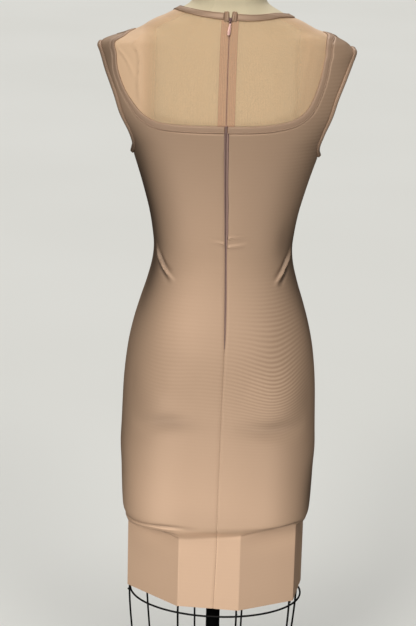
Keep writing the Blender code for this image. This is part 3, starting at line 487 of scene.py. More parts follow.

# %% [markdown]
# ## Creases
# Knit that is stretched over a body lies smooth but for a few creases: a ridge in the hollow of each
# side of the waist, short ones beside the zip, which does not stretch, and the sharp folds where the
# skirt leaves the torso's lower edge. Each is a listed line of points, with how far it rises and how
# wide it is, so that it can fade at its ends. The front and the sides get ones like those of the
# back. The padded seat is described in the same way, but the linen under the knit shares its forms.

# %% The padding's soft forms, and the crease lines: turn, height, rise and half width in mm
PADDING = {
    "seat, left": ((62, 800, 0, 34), (46, 796, 2.2, 36), (30, 794, 3, 36), (12, 800, 0, 34)),
    "seat, right": ((-12, 800, 0, 32), (-28, 788, 3.4, 34), (-44, 786, 3, 36), (-62, 792, 0, 34)),
    "under the seat, left": (
        (60, 722, 0, 15), (44, 728, -2.4, 15), (28, 738, -3.6, 14), (14, 745, -1.6, 14), (4, 750, 0, 12),
    ),
    "under the seat, right": (
        (-6, 738, 0, 12), (-17, 731, -3.2, 14), (-31, 725, -5, 15), (-44, 725, -3.6, 17),
        (-60, 730, 0, 15),
    ),
    "stomach": ((150, 880, 0, 40), (170, 872, 2.4, 44), (192, 872, 2.4, 44), (212, 880, 0, 40)),
}
CREASES = {
    "waist, back left": (
        (74, 1036, 0, 2.2), (68, 1022, 3.2, 2.3), (62.3, 1008.5, 5, 2.5), (53.7, 994, 4.6, 2.7),
        (44.5, 981, 2.2, 3.2), (38, 973, 0, 4.4),
    ),
    "waist, back left, lower": (
        (70, 1010, 0, 3.4), (60, 995, -2.4, 3.6), (51, 983, -2.2, 3.8), (42, 973, 0, 5),
    ),
    "waist, back left, upper": (
        (64, 1022, 0, 3.4), (57, 1006, -2, 3.6), (50, 996, -1.6, 4), (42, 988, 0, 5),
    ),
    "waist, back right": (
        (-76, 1032, 0, 2.2), (-70, 1018, 3.6, 2.4), (-64.9, 1008.6, 5, 2.6), (-54, 989.4, 4.4, 2.8),
        (-47, 978, 2.2, 3.4), (-42, 970, 0, 4.4),
    ),
    "waist, back right, lower": (
        (-71, 1006, 0, 3.6), (-62, 991, -2.6, 3.8), (-53, 977, -2.4, 4), (-46, 967, 0, 5),
    ),
    "waist, back right, upper": (
        (-66, 1020, 0, 3.4), (-58, 1003, -2, 3.8), (-50, 990, -1.4, 4.2), (-43, 981, 0, 5),
    ),
    "waist, front left": (
        (104, 1038, 0, 4), (111, 1022, 2.2, 4.4), (118, 1008, 2.8, 4.8), (127, 996, 1.8, 5.4),
        (136, 988, 0, 7),
    ),
    "waist, front right": ((254, 1034, 0, 4), (247, 1019, 2.6, 4.6), (239, 1004, 2.4, 5), (229, 991, 0, 7)),
    "beside the zip, right": ((-2.5, 1055, 2.2, 2.2), (-7, 1055.8, 1.8, 2.6), (-18, 1057, 0, 3.6)),
    "beside the zip, right, lower": ((-2.5, 1039.6, 2.2, 2.4), (-9, 1041, 2, 3), (-23, 1046, 0, 4)),
    "beside the zip, left": ((-0.5, 1045, 2.2, 2.4), (4, 1047, 1.6, 2.8), (12, 1048.5, 0, 3.8)),
    "torso's edge, upper, back left": (
        (96, 534, 0, 4), (76, 535, -1.2, 3), (56, 536.4, -1.9, 2.2), (46.6, 538.4, -2, 2.2),
        (35.3, 542.2, -1.8, 2.4), (27.6, 544.2, -1.3, 2.8), (18.7, 545, -0.6, 3.4), (7, 543, 0, 5),
    ),
    "torso's edge, fold, back left": (
        (92, 527, 0, 3.4), (70, 530, 0.9, 3.4), (52, 534.6, 1.1, 3.2), (38, 538, 1.3, 3.4),
        (26, 538.5, 1.2, 4), (16, 539, 0, 5),
    ),
    "torso's edge, under, back left": (
        (100, 519, -1.2, 3), (84, 518.2, -3.6, 2.4), (67.2, 521.8, -5.4, 2.2), (51.3, 526.8, -6, 2.2),
        (42.3, 529.2, -5.6, 2.1), (33.4, 530.6, -4.4, 1.9), (26, 530.6, -2.2, 1.9), (22.2, 527, 0, 2.2),
    ),
    "torso's edge, back right": (
        (6, 542.5, 0, 7), (-2, 541.6, -0.3, 5), (-13.6, 541, -0.5, 4), (-22.3, 541.2, -0.9, 3),
        (-31.8, 541.2, -1.9, 2.3), (-43, 541.6, -2.3, 2.1), (-53.2, 541.6, -2, 2.1),
        (-70, 533.5, -1.2, 3), (-88, 523, -1, 3), (-106, 527, -1.6, 3.2), (-124, 532, 0, 4),
    ),
    "torso's edge, front left": (
        (112, 524, 0, 4), (122, 528, -1.6, 3.2), (136, 533, -1.9, 3), (152, 536, -1.5, 4),
        (168, 536, -0.9, 6), (184, 537, 0, 7),
    ),
    "torso's edge, front right": (
        (190, 536, 0, 6), (204, 534, -1.2, 4.6), (220, 532, -1.8, 3), (238, 529, -1.6, 3.4),
        (250, 526, 0, 5),
    ),
    "mesh over the form's left arm edge": (
        (64, 1391, 0, 3), (53, 1379, 1.8, 2.6), (43.6, 1364.7, 2.6, 2.6), (40.2, 1340, 2.6, 2.8),
        (39.4, 1303, 2.2, 3.4), (39.2, 1274, 0, 5),
    ),
    "mesh, slanting from the left strap": (
        (66, 1377.7, 0, 2.4), (59, 1367, 1, 2.4), (52.3, 1356.3, 1.2, 2.4), (44.9, 1333.9, 1, 2.8),
        (41.5, 1315, 0, 3.4),
    ),
    "mesh over the form's right arm edge": (
        (-60, 1400, 0, 3), (-42, 1374, 0.5, 3.2), (-35, 1345, 0.6, 4), (-33, 1312, 0.5, 4),
        (-32, 1285, 0, 5),
    ),
}


def fine_crease(rows, pieces=28):
    """The crease as points in mm, with the rise and the width at each."""
    rows = np.array(rows, float)
    along = lengths_of(rows[:, :2])
    at = np.linspace(0.0, along[-1], pieces)
    turn, height, rise, width = (smooth_through(np.column_stack((along, rows[:, k])), at) for k in range(4))
    return surface(turn, height), rise, width


FINE_PADDING = [fine_crease(rows) for rows in PADDING.values()]
FINE_CREASES = [fine_crease(rows) for rows in CREASES.values()]


CREASE_REACH = 3.2  # a crease is felt this many of its widths away
RIDGE, TROUGH, TROUGH_WIDER = 1.35, 0.35, 2.1  # a ridge is a bell less a lower and wider one


def relief_at(points, lines):
    """How far the lines lift or sink each point, in mm. A ridge has a shallow trough on each side."""
    relief = np.zeros(len(points))
    for line, rise, width in lines:
        reach = CREASE_REACH * width.max()
        near = np.flatnonzero(((points > line.min(0) - reach) & (points < line.max(0) + reach)).all(1))
        best = np.full(len(near), 1e9)
        lift = np.zeros(len(near))
        for k in range(len(line) - 1):
            run = line[k + 1] - line[k]
            share = unit((points[near] - line[k]) @ run / (run @ run))
            away = np.linalg.norm(points[near] - line[k] - share[:, None] * run, axis=1)
            closer = away < best
            best[closer] = away[closer]
            rise_here = rise[k] + share * (rise[k + 1] - rise[k])
            ratio = away / (width[k] + share * (width[k + 1] - width[k]))
            ridge = rise_here * (RIDGE * bell(ratio) - TROUGH * bell(ratio / TROUGH_WIDER))
            lift[closer] = np.where(rise_here > 0, ridge, rise_here * bell(ratio))[closer]
        relief[near] += lift
    return relief


print("creases:", len(CREASES), "forms of the padding:", len(PADDING))

# %% [markdown]
# ## From a grid on the surface to cloth
# A cloth piece is one or more blocks of a grid of (turn, height) pairs. The outer face is placed point
# by point, the blocks are welded where they meet, and a Solidify modifier gives the wall its thickness.
# A UV map in real metres, called "cut", carries the weave, so the ribs follow the cloth round the body.
# Two attributes go with it, worked out from tables of soft-edged patches: "ribs" says how clearly the
# painted light and shade of the knit's courses show, and "tone" carries painted light and shade on the
# knit, or how closed the net is.


# %% Helpers for objects and cloth
def only(piece):
    """Leaves this one object selected and active."""
    if bpy.context.mode != "OBJECT":
        bpy.ops.object.mode_set(mode="OBJECT")
    bpy.ops.object.select_all(action="DESELECT")
    piece.select_set(True)
    bpy.context.view_layer.objects.active = piece


def settle():
    """Moves the place, the turn and the size of what is selected into its mesh."""
    bpy.ops.object.transform_apply(location=True, rotation=True, scale=True)


def apply_all(piece, smooth_angle=50.0):
    """Applies every modifier and the object's place, and shades it smooth but for its sharp edges."""
    only(piece)
    for modifier in list(piece.modifiers):
        bpy.ops.object.modifier_apply(modifier=modifier.name)
    settle()
    bpy.ops.object.shade_smooth_by_angle(angle=math.radians(smooth_angle))


def new_piece(name, data):
    """A new object of this mesh or curve, in the scene and selected alone."""
    piece = bpy.data.objects.new(name, data)
    bpy.context.scene.collection.objects.link(piece)
    only(piece)
    return piece


def edit_all(piece):
    """Goes into edit mode on this one piece, with all of it selected."""
    only(piece)
    bpy.ops.object.mode_set(mode="EDIT")
    bpy.ops.mesh.select_all(action="SELECT")


def leave_edit():
    bpy.ops.object.mode_set(mode="OBJECT")


def face_outwards(piece):
    """Turns all the faces of a closed piece outwards."""
    edit_all(piece)
    bpy.ops.mesh.normals_make_consistent(inside=False)
    leave_edit()


# %% Where the courses show, the painted light and shade on the knit, and how closed the net is
RIBS_ALL_OVER = 0.03  # how clear the courses' bump and painted light and shade are where no patch says more
RIB_PATCHES = (  # turn, height, how far it reaches in degrees and in mm, how clear the courses' painted light and shade are there
    (-33, 805, 26, 68, 1), (-42, 900, 20, 60, 0.5), (-62, 1250, 20, 90, 0.35), (30, 830, 20, 90, 0.15),
    (150, 800, 24, 90, 0.5), (214, 900, 26, 90, 0.6), (262, 1150, 20, 110, 0.4),
)
PAINTED_LIGHT_PATCHES = (  # turn, height, reach in degrees and in mm, painted light (+) or painted shade (-)
    (76, 1120, 18, 110, -0.7), (74, 975, 17, 76, -0.5), (-76, 1005, 22, 75, -0.56),
    (12, 1040, 30, 180, 0.15), (36, 905, 15, 60, 0.12), (-82, 590, 14, 64, -0.58),
    (82, 650, 13, 110, -0.22), (28, 737, 17, 14, -0.18), (-32, 728, 19, 15, -0.13),
    (54, 620, 14, 70, 0.1), (66, 1320, 13, 80, -0.4), (-78, 1330, 12, 60, -0.15),
    (104, 1100, 16, 110, -0.4), (256, 1060, 16, 110, -0.4), (100, 1320, 14, 80, -0.25),
    (260, 1320, 14, 80, -0.2), (-84, 900, 14, 60, -0.36), (45, 800, 14, 44, 0.07),
    (-35, 800, 14, 44, 0.07), (60, 506, 30, 24, 0.15), (-55, 506, 30, 24, 0.15), (12, 560, 26, 26, -0.07),
    (6, 533, 30, 8, 0.28), (-68, 580, 12, 60, -0.16), (62, 1200, 10, 50, -0.16),
    (-52, 1048, 8, 30, -0.16), (60, 520.6, 5, 3.2, -0.35), (52, 522.8, 5, 3.4, -0.5),
    (45, 524.6, 5, 3.4, -0.5), (38, 526, 5, 3.2, -0.45), (32, 527.2, 4, 3, -0.35),
)
CREASE_PAINTED_SHADE, CREASE_SHADE_MOST = 0.20, 0.85  # how much painted shade darkens a crease, for a millimetre of depth and at most
DEEPEST = 0.15  # painted shade never makes the knit's tone deeper than this
NET_AT_SHOULDER = (46.0, 40.0, 0.9)  # how near the shoulder line, over how many mm, and how closed it is
NET_CLOSED = ((118.0, 26.0, 0.78), (112.0, 18.0, 0.25))  # the same, from how far out, left and right


def patches(turns, heights, table, all_over):
    """One value all over, with a soft-edged patch for each row of the table."""
    value = np.full(turns.shape, all_over)
    for turn, height, wide, tall, more in table:
        value += more * np.exp(-((wrapped(turns - turn) / wide) ** 2) - ((heights - height) / tall) ** 2)
    return value


def rib_strength(turns, heights):
    """Where the light catches the courses of the knit: a little all over, and more in a few patches."""
    return patches(turns, heights, RIB_PATCHES, RIBS_ALL_OVER)


def painted_light_and_shade(turns, heights):
    """Painted light and shade: the knit's colour, paler in patches where light falls, deeper where shade
    falls.
    """
    return np.maximum(patches(turns, heights, PAINTED_LIGHT_PATCHES, 1.0), DEEPEST)


def net_closed(turns, heights):
    """How far the net closes up: at the shoulders, and where it hangs free past the form's arm plates."""
    x, y, _ = np.moveaxis(surface(turns, heights), -1, 0)
    near, over, most = NET_AT_SHOULDER
    closed = unit((near - np.abs(y)) / over) * most
    for (side, _), (edge, over, most) in zip(SIDES, NET_CLOSED):
        closed = np.maximum(closed, unit((side * x - edge) / over) * most)
    return closed


print("patches where the courses show:", len(RIB_PATCHES), "and of tone:", len(PAINTED_LIGHT_PATCHES))


# %% The outer face, the wall and the cut
WELD_DIGITS = 5  # points that agree to a hundredth of a millimetre become one


def make_cloth(name, blocks, thickness, creased=True, even=True, toned=painted_light_and_shade):
    """A cloth piece from blocks of (turns, heights, offsets, u, v), each an array of rows of points."""
    points, cut, faces, ribs, tones, count = [], [], [], [], [], 0
    for turns, heights, offsets, u, v in blocks:
        turns, heights, offsets, u, v = np.broadcast_arrays(turns, heights, offsets, u, v)
        lift, tone = offsets + 0.0, toned(turns, heights)
        if creased:
            places = surface(turns, heights).reshape(-1, 3)
            relief = relief_at(places, FINE_CREASES).reshape(turns.shape)
            lift = lift + relief + relief_at(places, FINE_PADDING).reshape(turns.shape)
            if toned is painted_light_and_shade:
                # Painted shade: little light gets into a sharp crease, so its colour is darkened there.
                tone = tone * (1 - np.clip(-CREASE_PAINTED_SHADE * relief, 0.0, CREASE_SHADE_MOST))
        placed = place(turns, heights, lift)
        index = count + np.arange(turns.size).reshape(turns.shape)
        quads = np.stack((index[:-1, :-1], index[:-1, 1:], index[1:, 1:], index[1:, :-1]), axis=-1)
        middle = tuple(n // 2 for n in turns.shape)
        ahead = placed[middle] - placed[middle[0], middle[1] - 1]
        above = placed[middle] - placed[middle[0] - 1, middle[1]]
        facing = np.cross(ahead, above) @ outwards(turns[middle], heights[middle])
        quads = quads.reshape(-1, 4)
        faces.append(quads if facing > 0 else quads[:, ::-1])
        points.append(placed.reshape(-1, 3) * MM)
        cut.append(np.stack((u, v), axis=-1).reshape(-1, 2) * MM)
        ribs.append(rib_strength(turns, heights).ravel())
        tones.append(tone.ravel())
        count += turns.size
    points, cut, faces = (np.concatenate(part) for part in (points, cut, faces))
    _, first, weld = np.unique(points.round(WELD_DIGITS), axis=0, return_index=True, return_inverse=True)
    faces = weld.reshape(-1)[faces]
    faces = [list(dict.fromkeys(face)) for face in faces.tolist()]
    mesh = bpy.data.meshes.new(name)
    mesh.from_pydata(points[first].tolist(), [], [face for face in faces if len(face) > 2])
    loops = np.empty(len(mesh.loops), np.int32)
    mesh.loops.foreach_get("vertex_index", loops)
    mesh.uv_layers.new(name="cut").data.foreach_set("uv", cut[first][loops].ravel())
    for key, values in (("ribs", ribs), ("tone", tones)):
        mesh.attributes.new(key, "FLOAT", "POINT").data.foreach_set("value", np.concatenate(values)[first])
    piece = new_piece(name, mesh)
    wall = piece.modifiers.new("wall", "SOLIDIFY")
    wall.thickness, wall.offset, wall.use_even_offset = thickness * MM, -1.0, even
    apply_all(piece)
    print(f"{name}: {len(piece.data.polygons)} faces")
    return piece


# %% [markdown]
# ## The main panels
# Bandage knit is cut in three: a front and two backs, each with its shoulder strap. Each panel is three
# blocks. The lowest runs from hem to bust in level rows, with a column on every wire of the cage, so
# that the skirt can break sharply there. The next fills the space up to the yoke and the underarm, and
# the last is the strap. The knit sinks along each seam, which is what makes a seam read as a line.

# %% Panels
KNIT_THICK = 1.6
CELL_BACK, CELL_FRONT = 2.8, 3.3  # the usual distance between two columns
WIRE_BEND = 0.55  # degrees to either side of a wire in which the knit bends over it
HEM_AT_WIRES = {-99.2: 389.0, -61.6: 383.4, -15.0: 388.5, 24.3: 391.0, 82.3: 389.0}  # it hangs unevenly
SEAM_SINK = (1.3, 1.6)  # how deep the knit sinks at a seam, and how far from the seam
SINK_COLUMNS = (1.2, 3.2)  # where it has a column on each side of the seam to sink with
ROW_STEPS = (  # from one height to the next, closer together where the creases are sharp
    (HEM, 470, 8), (470, CAGED, 4), (CAGED, 552, 1.15), (552, 700, 5), (700, 960, 4), (960, 1062, 2.2),
    (1062, YOKE_LINE, 4.2),
)
MIDDLE_ROWS = np.append(np.linspace(0, 1, 21)[1:-1], (0.965, 0.985, 1.0))  # shares of the way up
STRAP_COLUMNS, STRAP_EASED = 22, 4  # the columns of a strap, and the rows in which they spread out
STRAP_STARTS = np.linspace(0.3, 0.9, 241)  # shares of the yoke's edge where the strap may start
SEAT_SAG = ((-31, 24, 30.0), (34, 24, 9.0))  # where the courses sag over the seat: turn, reach, mm
SEAT_SAG_AT = (800, 95)  # height, reach
KNIT_PER_DEGREE = 2.9  # mm of cut for a degree of turn


def hem_drop(turns, heights):
    """Lowers the rows of the skirt so that the lowest follows the uneven hem."""
    stops = np.append(WIRES, WIRES[0] + 360)
    named = {turn % 360: height for turn, height in HEM_AT_WIRES.items()}
    at_wires = [named.get(stop % 360, HEM) for stop in stops]
    drop = HEM - np.interp((turns - stops[0]) % 360 + stops[0], stops, at_wires)
    return heights - drop * unit((CAGED - heights) / (CAGED - HEM))


def half_columns(heights, side, front):
    """The turns of each row of one half, from the centre line out to the side seam."""
    first, last = (180.0, 180.0 - side * 90.0) if front else (0.0, side * 90.0)
    low, high = sorted((first, last))
    wires = [w for turn in WIRES for w in (turn, turn - 360) if low < w < high]
    wires.sort(key=lambda w: abs(w - first))
    anchors = [centre_line(heights, side, front, away) for away in (0.0, *SINK_COLUMNS)]
    way = math.copysign(1.0, last - first)
    for wire in wires:
        anchors += [np.full(heights.shape, wire + bend * way) for bend in (-WIRE_BEND, 0.0, WIRE_BEND)]
    anchors += [beside_seam(heights, side, front, away) for away in (*SINK_COLUMNS[::-1], SEAM / 2)]
    columns = [anchors[0][:, None]]
    widest = len(heights) // 3
    cell = CELL_FRONT if front else CELL_BACK
    for a, b in zip(anchors, anchors[1:]):
        span = np.linalg.norm(surface(a[widest], heights[widest]) - surface(b[widest], heights[widest]))
        count = max(round(span / cell), 1)
        columns.append(a[:, None] + (b - a)[:, None] * (np.arange(1, count + 1) / count))
    return np.concatenate(columns, axis=1)


def main_half(side, front):
    """The three blocks of one half of a panel, as pairs of turns and heights."""
    heights = np.concatenate([np.arange(*step) for step in ROW_STEPS] + [[YOKE_LINE]])
    turns = half_columns(heights, side, front)
    body = np.stack((turns, np.broadcast_to(heights[:, None], turns.shape)), axis=-1)
    edge = strap_edge(side, front)
    inner = beside_yoke(side, front, -SEAM / 2)
    corner_at = surface(*edge[UNDERARM_ROWS])
    found = resampled(inner, STRAP_STARTS)
    to_corner = np.linalg.norm(surface(found[:, 0], found[:, 1]) - corner_at, axis=1)
    split = STRAP_STARTS[to_corner.argmin()]

    bottom = body[-1]
    own = lengths_of(bottom) / lengths_of(bottom)[-1]
    corner = len(own) - 1 - STRAP_COLUMNS
    top = np.concatenate((
        resampled(inner, own[: corner + 1] / own[corner] * split),
        between(resampled(inner, np.array([split]))[0], edge[UNDERARM_ROWS],
                (own[corner + 1 :] - own[corner]) / (1 - own[corner])),
    ))
    ends = resampled(edge[: UNDERARM_ROWS + 1], MIDDLE_ROWS)
    rows = [bottom]
    for share, end in zip(MIDDLE_ROWS, ends):
        height = bottom[0, 1] * (1 - share) + top[0, 1] * share
        start = np.array((float(centre_line(height, side, front)), height))
        straight = bottom * (1 - share) + top * share
        u = own[:, None]
        rows.append(straight + (1 - u) * (start - straight[0]) + u * (end - straight[-1]))
    across = (own[corner:] - own[corner]) / (1 - own[corner])
    eased = (1 - np.cos(np.pi * across)) / 2
    steps = ARMHOLE_PIECES - UNDERARM_ROWS
    strap = []
    inner_points = resampled(inner, np.linspace(split, 1.0, steps + 1))
    for k, (a, b) in enumerate(zip(inner_points, edge[UNDERARM_ROWS:])):
        share = min(k / STRAP_EASED, 1.0)
        strap.append(between(a, b, across * (1 - share) + eased * share))
    strap[0] = rows[-1][corner:]
    strap[-1][:, 0] = beside_seam(strap[-1][:, 1], side, front)
    return body, np.array(rows), np.array(strap)


def sink_at_seams(pairs, seams):
    """How far the knit sinks beside its seams, in mm."""
    depth, reach = SEAM_SINK
    points = surface(pairs[..., 0], pairs[..., 1]).reshape(-1, 3)
    away = np.full(len(points), 1e9)
    for seam in seams:
        line = surface(seam[:, 0], seam[:, 1])
        close = ((points > line.min(0) - 5 * reach) & (points < line.max(0) + 5 * reach)).all(1)
        for part in np.array_split(np.flatnonzero(close), 24):
            gaps = np.linalg.norm(points[part][:, None] - line[None], axis=2)
            away[part] = np.minimum(away[part], gaps.min(1, initial=1e9))
    return (-depth * bell(away / reach)).reshape(pairs.shape[:-1])


def panel_blocks(side, front):
    """The blocks of one half, ready for make_cloth."""
    seam_heights = np.arange(HEM, YOKE_LINE + 40, 0.8)
    side_seam = np.stack((beside_seam(seam_heights, side, front), seam_heights), axis=1)
    seams = [side_seam, resampled(beside_yoke(side, front, 0.0), np.linspace(0, 1, 500)),
             resampled(strap_edge(side, front), np.linspace(0, 1, 400))]
    if not front:
        seams.append(np.stack((centre_line(seam_heights, side, False), seam_heights), axis=1))
    blocks = []
    for pairs in main_half(side, front):
        turns, heights = pairs[..., 0], pairs[..., 1]
        # The courses of the knit sag over the seat, more on the right.
        sag = sum(deep * bell((wrapped(turns) - turn) / wide) for turn, wide, deep in SEAT_SAG)
        sag = sag * bell((heights - SEAT_SAG_AT[0]) / SEAT_SAG_AT[1])
        sink = sink_at_seams(pairs, seams)
        blocks.append((turns, hem_drop(turns, heights), sink, turns * KNIT_PER_DEGREE, heights + sag))
    return blocks


back_left = make_cloth("back_left_knit", panel_blocks(1, False), KNIT_THICK)
back_right = make_cloth("back_right_knit", panel_blocks(-1, False), KNIT_THICK)
front = make_cloth("front_knit", panel_blocks(1, True) + panel_blocks(-1, True), KNIT_THICK)

# %% [markdown]
# ## Bands and bindings
# The yoke's band, the neckband and the armhole bindings are strips of the same knit, folded double and
# topstitched. Seen from the end, such a strip is a low cushion: its edges roll under and the stitches
# pull a narrow channel on each side. So each strip is one profile, given as distance across and height,
# that is carried along its line on the surface.

# %% Strips
STRIP_THICK = 1.5
BAND_PROFILE = (  # share of the way across, height over the knit in mm
    (0, -1.1), (0.02, 0.3), (0.05, 0.85), (0.1, 0.95), (0.14, 0.4), (0.18, 0.75), (0.35, 0.8), (0.5, 0.8),
    (0.65, 0.8), (0.82, 0.75), (0.86, 0.4), (0.9, 0.95), (0.95, 0.85), (0.98, 0.3), (1, -1.1),
)
BINDING_PROFILE = (
    (0, -1.4), (0.02, -0.2), (0.08, 0.9), (0.2, 1.6), (0.4, 1.9), (0.62, 1.7), (0.74, 1.1), (0.82, 1.25),
    (0.92, 0.8), (0.98, 0.1), (1, -1.3),
)
BINDING_LAP = 0.9  # how far the binding laps over the edge of the strap
UNDERARM_BUMP = (2.0, 7.0)  # it is bulky where its ends are joined, under the arm: rise, reach
TIP_RISE = {1: 1.2, -1: 2.0}  # and is drawn up to a point near the tip of the shoulder
TIP_RISE_AT = (3.0, 4.0)  # how far below the tip, and over how many mm
BAND_PIECES, NECKBAND_PIECES = 130, 300


def strip_block(lines, profile, wide):
    """A block for make_cloth from the strip's lines and its profile."""
    pairs = np.array(lines)
    lengths = np.array([lengths_of(line) for line in pairs])
    across = np.array([share for share, _ in profile])[:, None] * wide
    return pairs[..., 0], pairs[..., 1], np.array([rise for _, rise in profile])[:, None], lengths, across


def band_lines(side, front):
    shares = np.linspace(0, 1, BAND_PIECES)
    return [
        resampled(beside_yoke(side, front, SEAM / 2 + share * YOKE_BAND, BAND_SLOT), shares)
        for share, _ in BAND_PROFILE
    ]


def neckband_lines():
    lines = []
    for share, _ in BAND_PROFILE:
        line = neck_line((1 - share) * NECKBAND, pieces=NECKBAND_PIECES)
        start, end = (float(zip_edge(line[0, 1], way, NECKBAND_SLOT)) for way in (1, -1))
        turns = np.linspace(start, end + 360.0, NECKBAND_PIECES)
        lines.append(np.stack((turns, np.interp(turns, line[:, 0], line[:, 1])), axis=1))
    return lines


def binding_lines(side):
    edge = armhole(side)
    lines = [edge if share == 0 else moved(edge, -side * share * (BINDING + BINDING_LAP), closed=True)
             for share, _ in BINDING_PROFILE]
    return [np.concatenate((line, line[:1])) for line in lines]


bands = {}
for side, word in SIDES:
    block = strip_block(band_lines(side, False), BAND_PROFILE, YOKE_BAND)
    bands["back_" + word] = make_cloth(f"yoke_band_back_{word}_strip", [block], STRIP_THICK)
halves = [strip_block(band_lines(side, True), BAND_PROFILE, YOKE_BAND) for side in (1, -1)]
bands["front"] = make_cloth("yoke_band_front_strip", halves, STRIP_THICK)
neck_block = strip_block(neckband_lines(), BAND_PROFILE, NECKBAND)
neckband = make_cloth("neckband_strip", [neck_block], STRIP_THICK)
bindings = {}
for side, word in SIDES:
    turns, heights, rise, u, v = strip_block(binding_lines(side), BINDING_PROFILE, BINDING)
    bump = UNDERARM_BUMP[0] * bell((heights - UNDERARM) / UNDERARM_BUMP[1])
    tip = bell((heights - SHOULDER_TIP + TIP_RISE_AT[0]) / TIP_RISE_AT[1])
    rise = rise + (bump + TIP_RISE[side] * tip) * (rise > 0)
    name = f"armhole_binding_{word}_strip"
    bindings[word] = make_cloth(name, [(turns, heights, rise, u, v)], STRIP_THICK)

# %% [markdown]
# ## The sheer yoke
# One layer of power mesh, stretched over the form's shoulders. It is modelled as a very thin wall just
# under the bands, and its material lets the linen show through.

# %% Mesh
MESH_AT, MESH_THICK = -0.75, 0.3
YOKE_ROWS, YOKE_COLUMNS = 44, 64
MESH_PINNED = 20.0  # how far in the mesh follows its ends
MESH_PER_DEGREE = 2.2  # mm of cut for a degree of turn


def yoke_block(side, front):
    shares = np.linspace(0.0, 1.0, YOKE_COLUMNS + 1)
    lower = resampled(beside_yoke(side, front, YOKE_BAND + 2 * SEAM, MESH_SLOT), shares)
    neck = neck_line(NECKBAND + SEAM)
    if not front and side < 0:
        neck = neck - (360.0, 0.0)
    first, last = (180.0, side_turn(side, front)) if front else (0.0, side * 90.0)
    turns = first + (last - first) * shares
    upper = np.stack((turns, np.interp(turns, neck[:, 0], neck[:, 1])), axis=1)
    upper = resampled(upper, shares)
    rows = []
    for share in np.linspace(0.0, 1.0, YOKE_ROWS + 1):
        row = upper * (1 - share) + lower * share
        height = row[0, 1]
        start = 180.0 if front else float(zip_edge(height, side, MESH_SLOT))
        end = (beside_seam(row[-1, 1], side, front), row[-1, 1])
        rows.append(pinned(row, (start, height), end, reach=MESH_PINNED))
    turns, heights = np.moveaxis(np.array(rows), -1, 0)
    return turns, heights, np.array(MESH_AT), turns * MESH_PER_DEGREE, heights


def make_yoke(name, blocks):
    return make_cloth(name, blocks, MESH_THICK, even=False, toned=net_closed)


yokes = {
    "back_" + word: make_yoke(f"yoke_back_{word}_mesh", [yoke_block(side, False)]) for side, word in SIDES
}
yokes["front"] = make_yoke("yoke_front_mesh", [yoke_block(side, True) for side, _ in SIDES])

# %% [markdown]
# ## The zip
# An invisible zip: each tape is folded back at the coil, so that from outside only two rolled edges
# meet. Under the mesh the tapes show through as two pinkish strips. Above the slider the rolled edges
# part in a small V. The nylon coil lies behind them, one turn of it every 1.1 mm.

# %% Tapes, rolled edges and coils
TAPE_THICK, TAPE_AT, TAPE_TOP = 0.7, -2.1, 1427.5
TAPE_COLUMNS = (0.0, 0.6, 1.6, 4.0, 7.0, 10.0, 12.6, 13.4, 14.0)
SELVEDGE = (13.3, 0.5, 0.25)  # where the tape's outer edge is thickest, its reach and its rise
SLIDER_HEIGHT = 1416.5
CLOSED, OPEN = 0.12, 3.0  # how far a side stands off the centre where the zip is closed, and at its top
OPENS_BELOW, OPENS_OVER, OPENS_AS = 1.0, 13.0, 1.3  # it starts this far below the slider's middle
BAND_ROWS = (1236.0, 1249.5)  # the yoke's band, where it crosses the zip
ROLL_TOPS = (-0.5, 0.5, -1.0)  # how high a rolled edge stands under the band, beside it and above it
ROLL_FLATTER = 0.9
ROLL_IN_YOKE = 2.0  # how wide the rolled edge is where only mesh covers it
ROLL_SHADE_SPAN, ROLL_SHADE_DARKEST = 12.0, 0.25  # its painted shade and light go round once across, and the shade is darkest this far out
BAND_END_AT = 11.2  # how far out the neckband's turned end reaches
BAND_END_INNER = (0.5, 2.0, 1417.0, 10.0)  # its inner edge, and how that leans outwards
BAND_END_PROFILE = (
    (0, -1.5), (0.05, -0.4), (0.12, 0.7), (0.22, 1.6), (0.34, 2), (0.46, 1.5), (0.53, 0.3), (0.6, 0.2),
    (0.68, 1.3), (0.78, 1.7), (0.88, 0.9), (0.95, -0.4), (1, -1.5),
)
BAND_END_CROWN = np.array((  # height, how far it stands out there
    (1415.6, -1.9), (1416.2, -1.0), (1417.4, -0.3), (1419.5, 0.0), (1422.5, 0.1), (1425.5, 0.1),
    (1428.2, 0.0), (1429.8, -0.4), (1430.8, -1.1), (1431.4, -2.0),
))
ROLL_PROFILE = ((0, -1.9), (0.05, -1.2), (0.16, -0.35), (0.4, 0), (0.66, -0.15), (0.86, -0.7), (1, -1.5))
COIL_PITCH = 1.1


def parted(heights):
    """How far each side of the zip stands off the centre: closed, then opening above the slider."""
    return CLOSED + OPEN * unit((heights - SLIDER_HEIGHT + OPENS_BELOW) / OPENS_OVER) ** OPENS_AS


def tape_block(side):
    heights = np.append(np.arange(ZIP_END, TAPE_TOP - 0.5, 4.0), TAPE_TOP)[:, None]
    across = np.array(TAPE_COLUMNS)[None]
    middle, reach, rise = SELVEDGE
    lift = TAPE_AT + rise * bell((across - middle) / reach)
    turns = zip_edge(heights, side, parted(heights) + across)
    return turns, heights, lift, across, heights


def roll_cut_across(shares):
    """The distance across, the same at every height, that the rolled edge's painted shade is drawn by; the
    neckband's turned end takes it as its cut too.
    """
    return (shares[None] - ROLL_SHADE_DARKEST) * ROLL_SHADE_SPAN


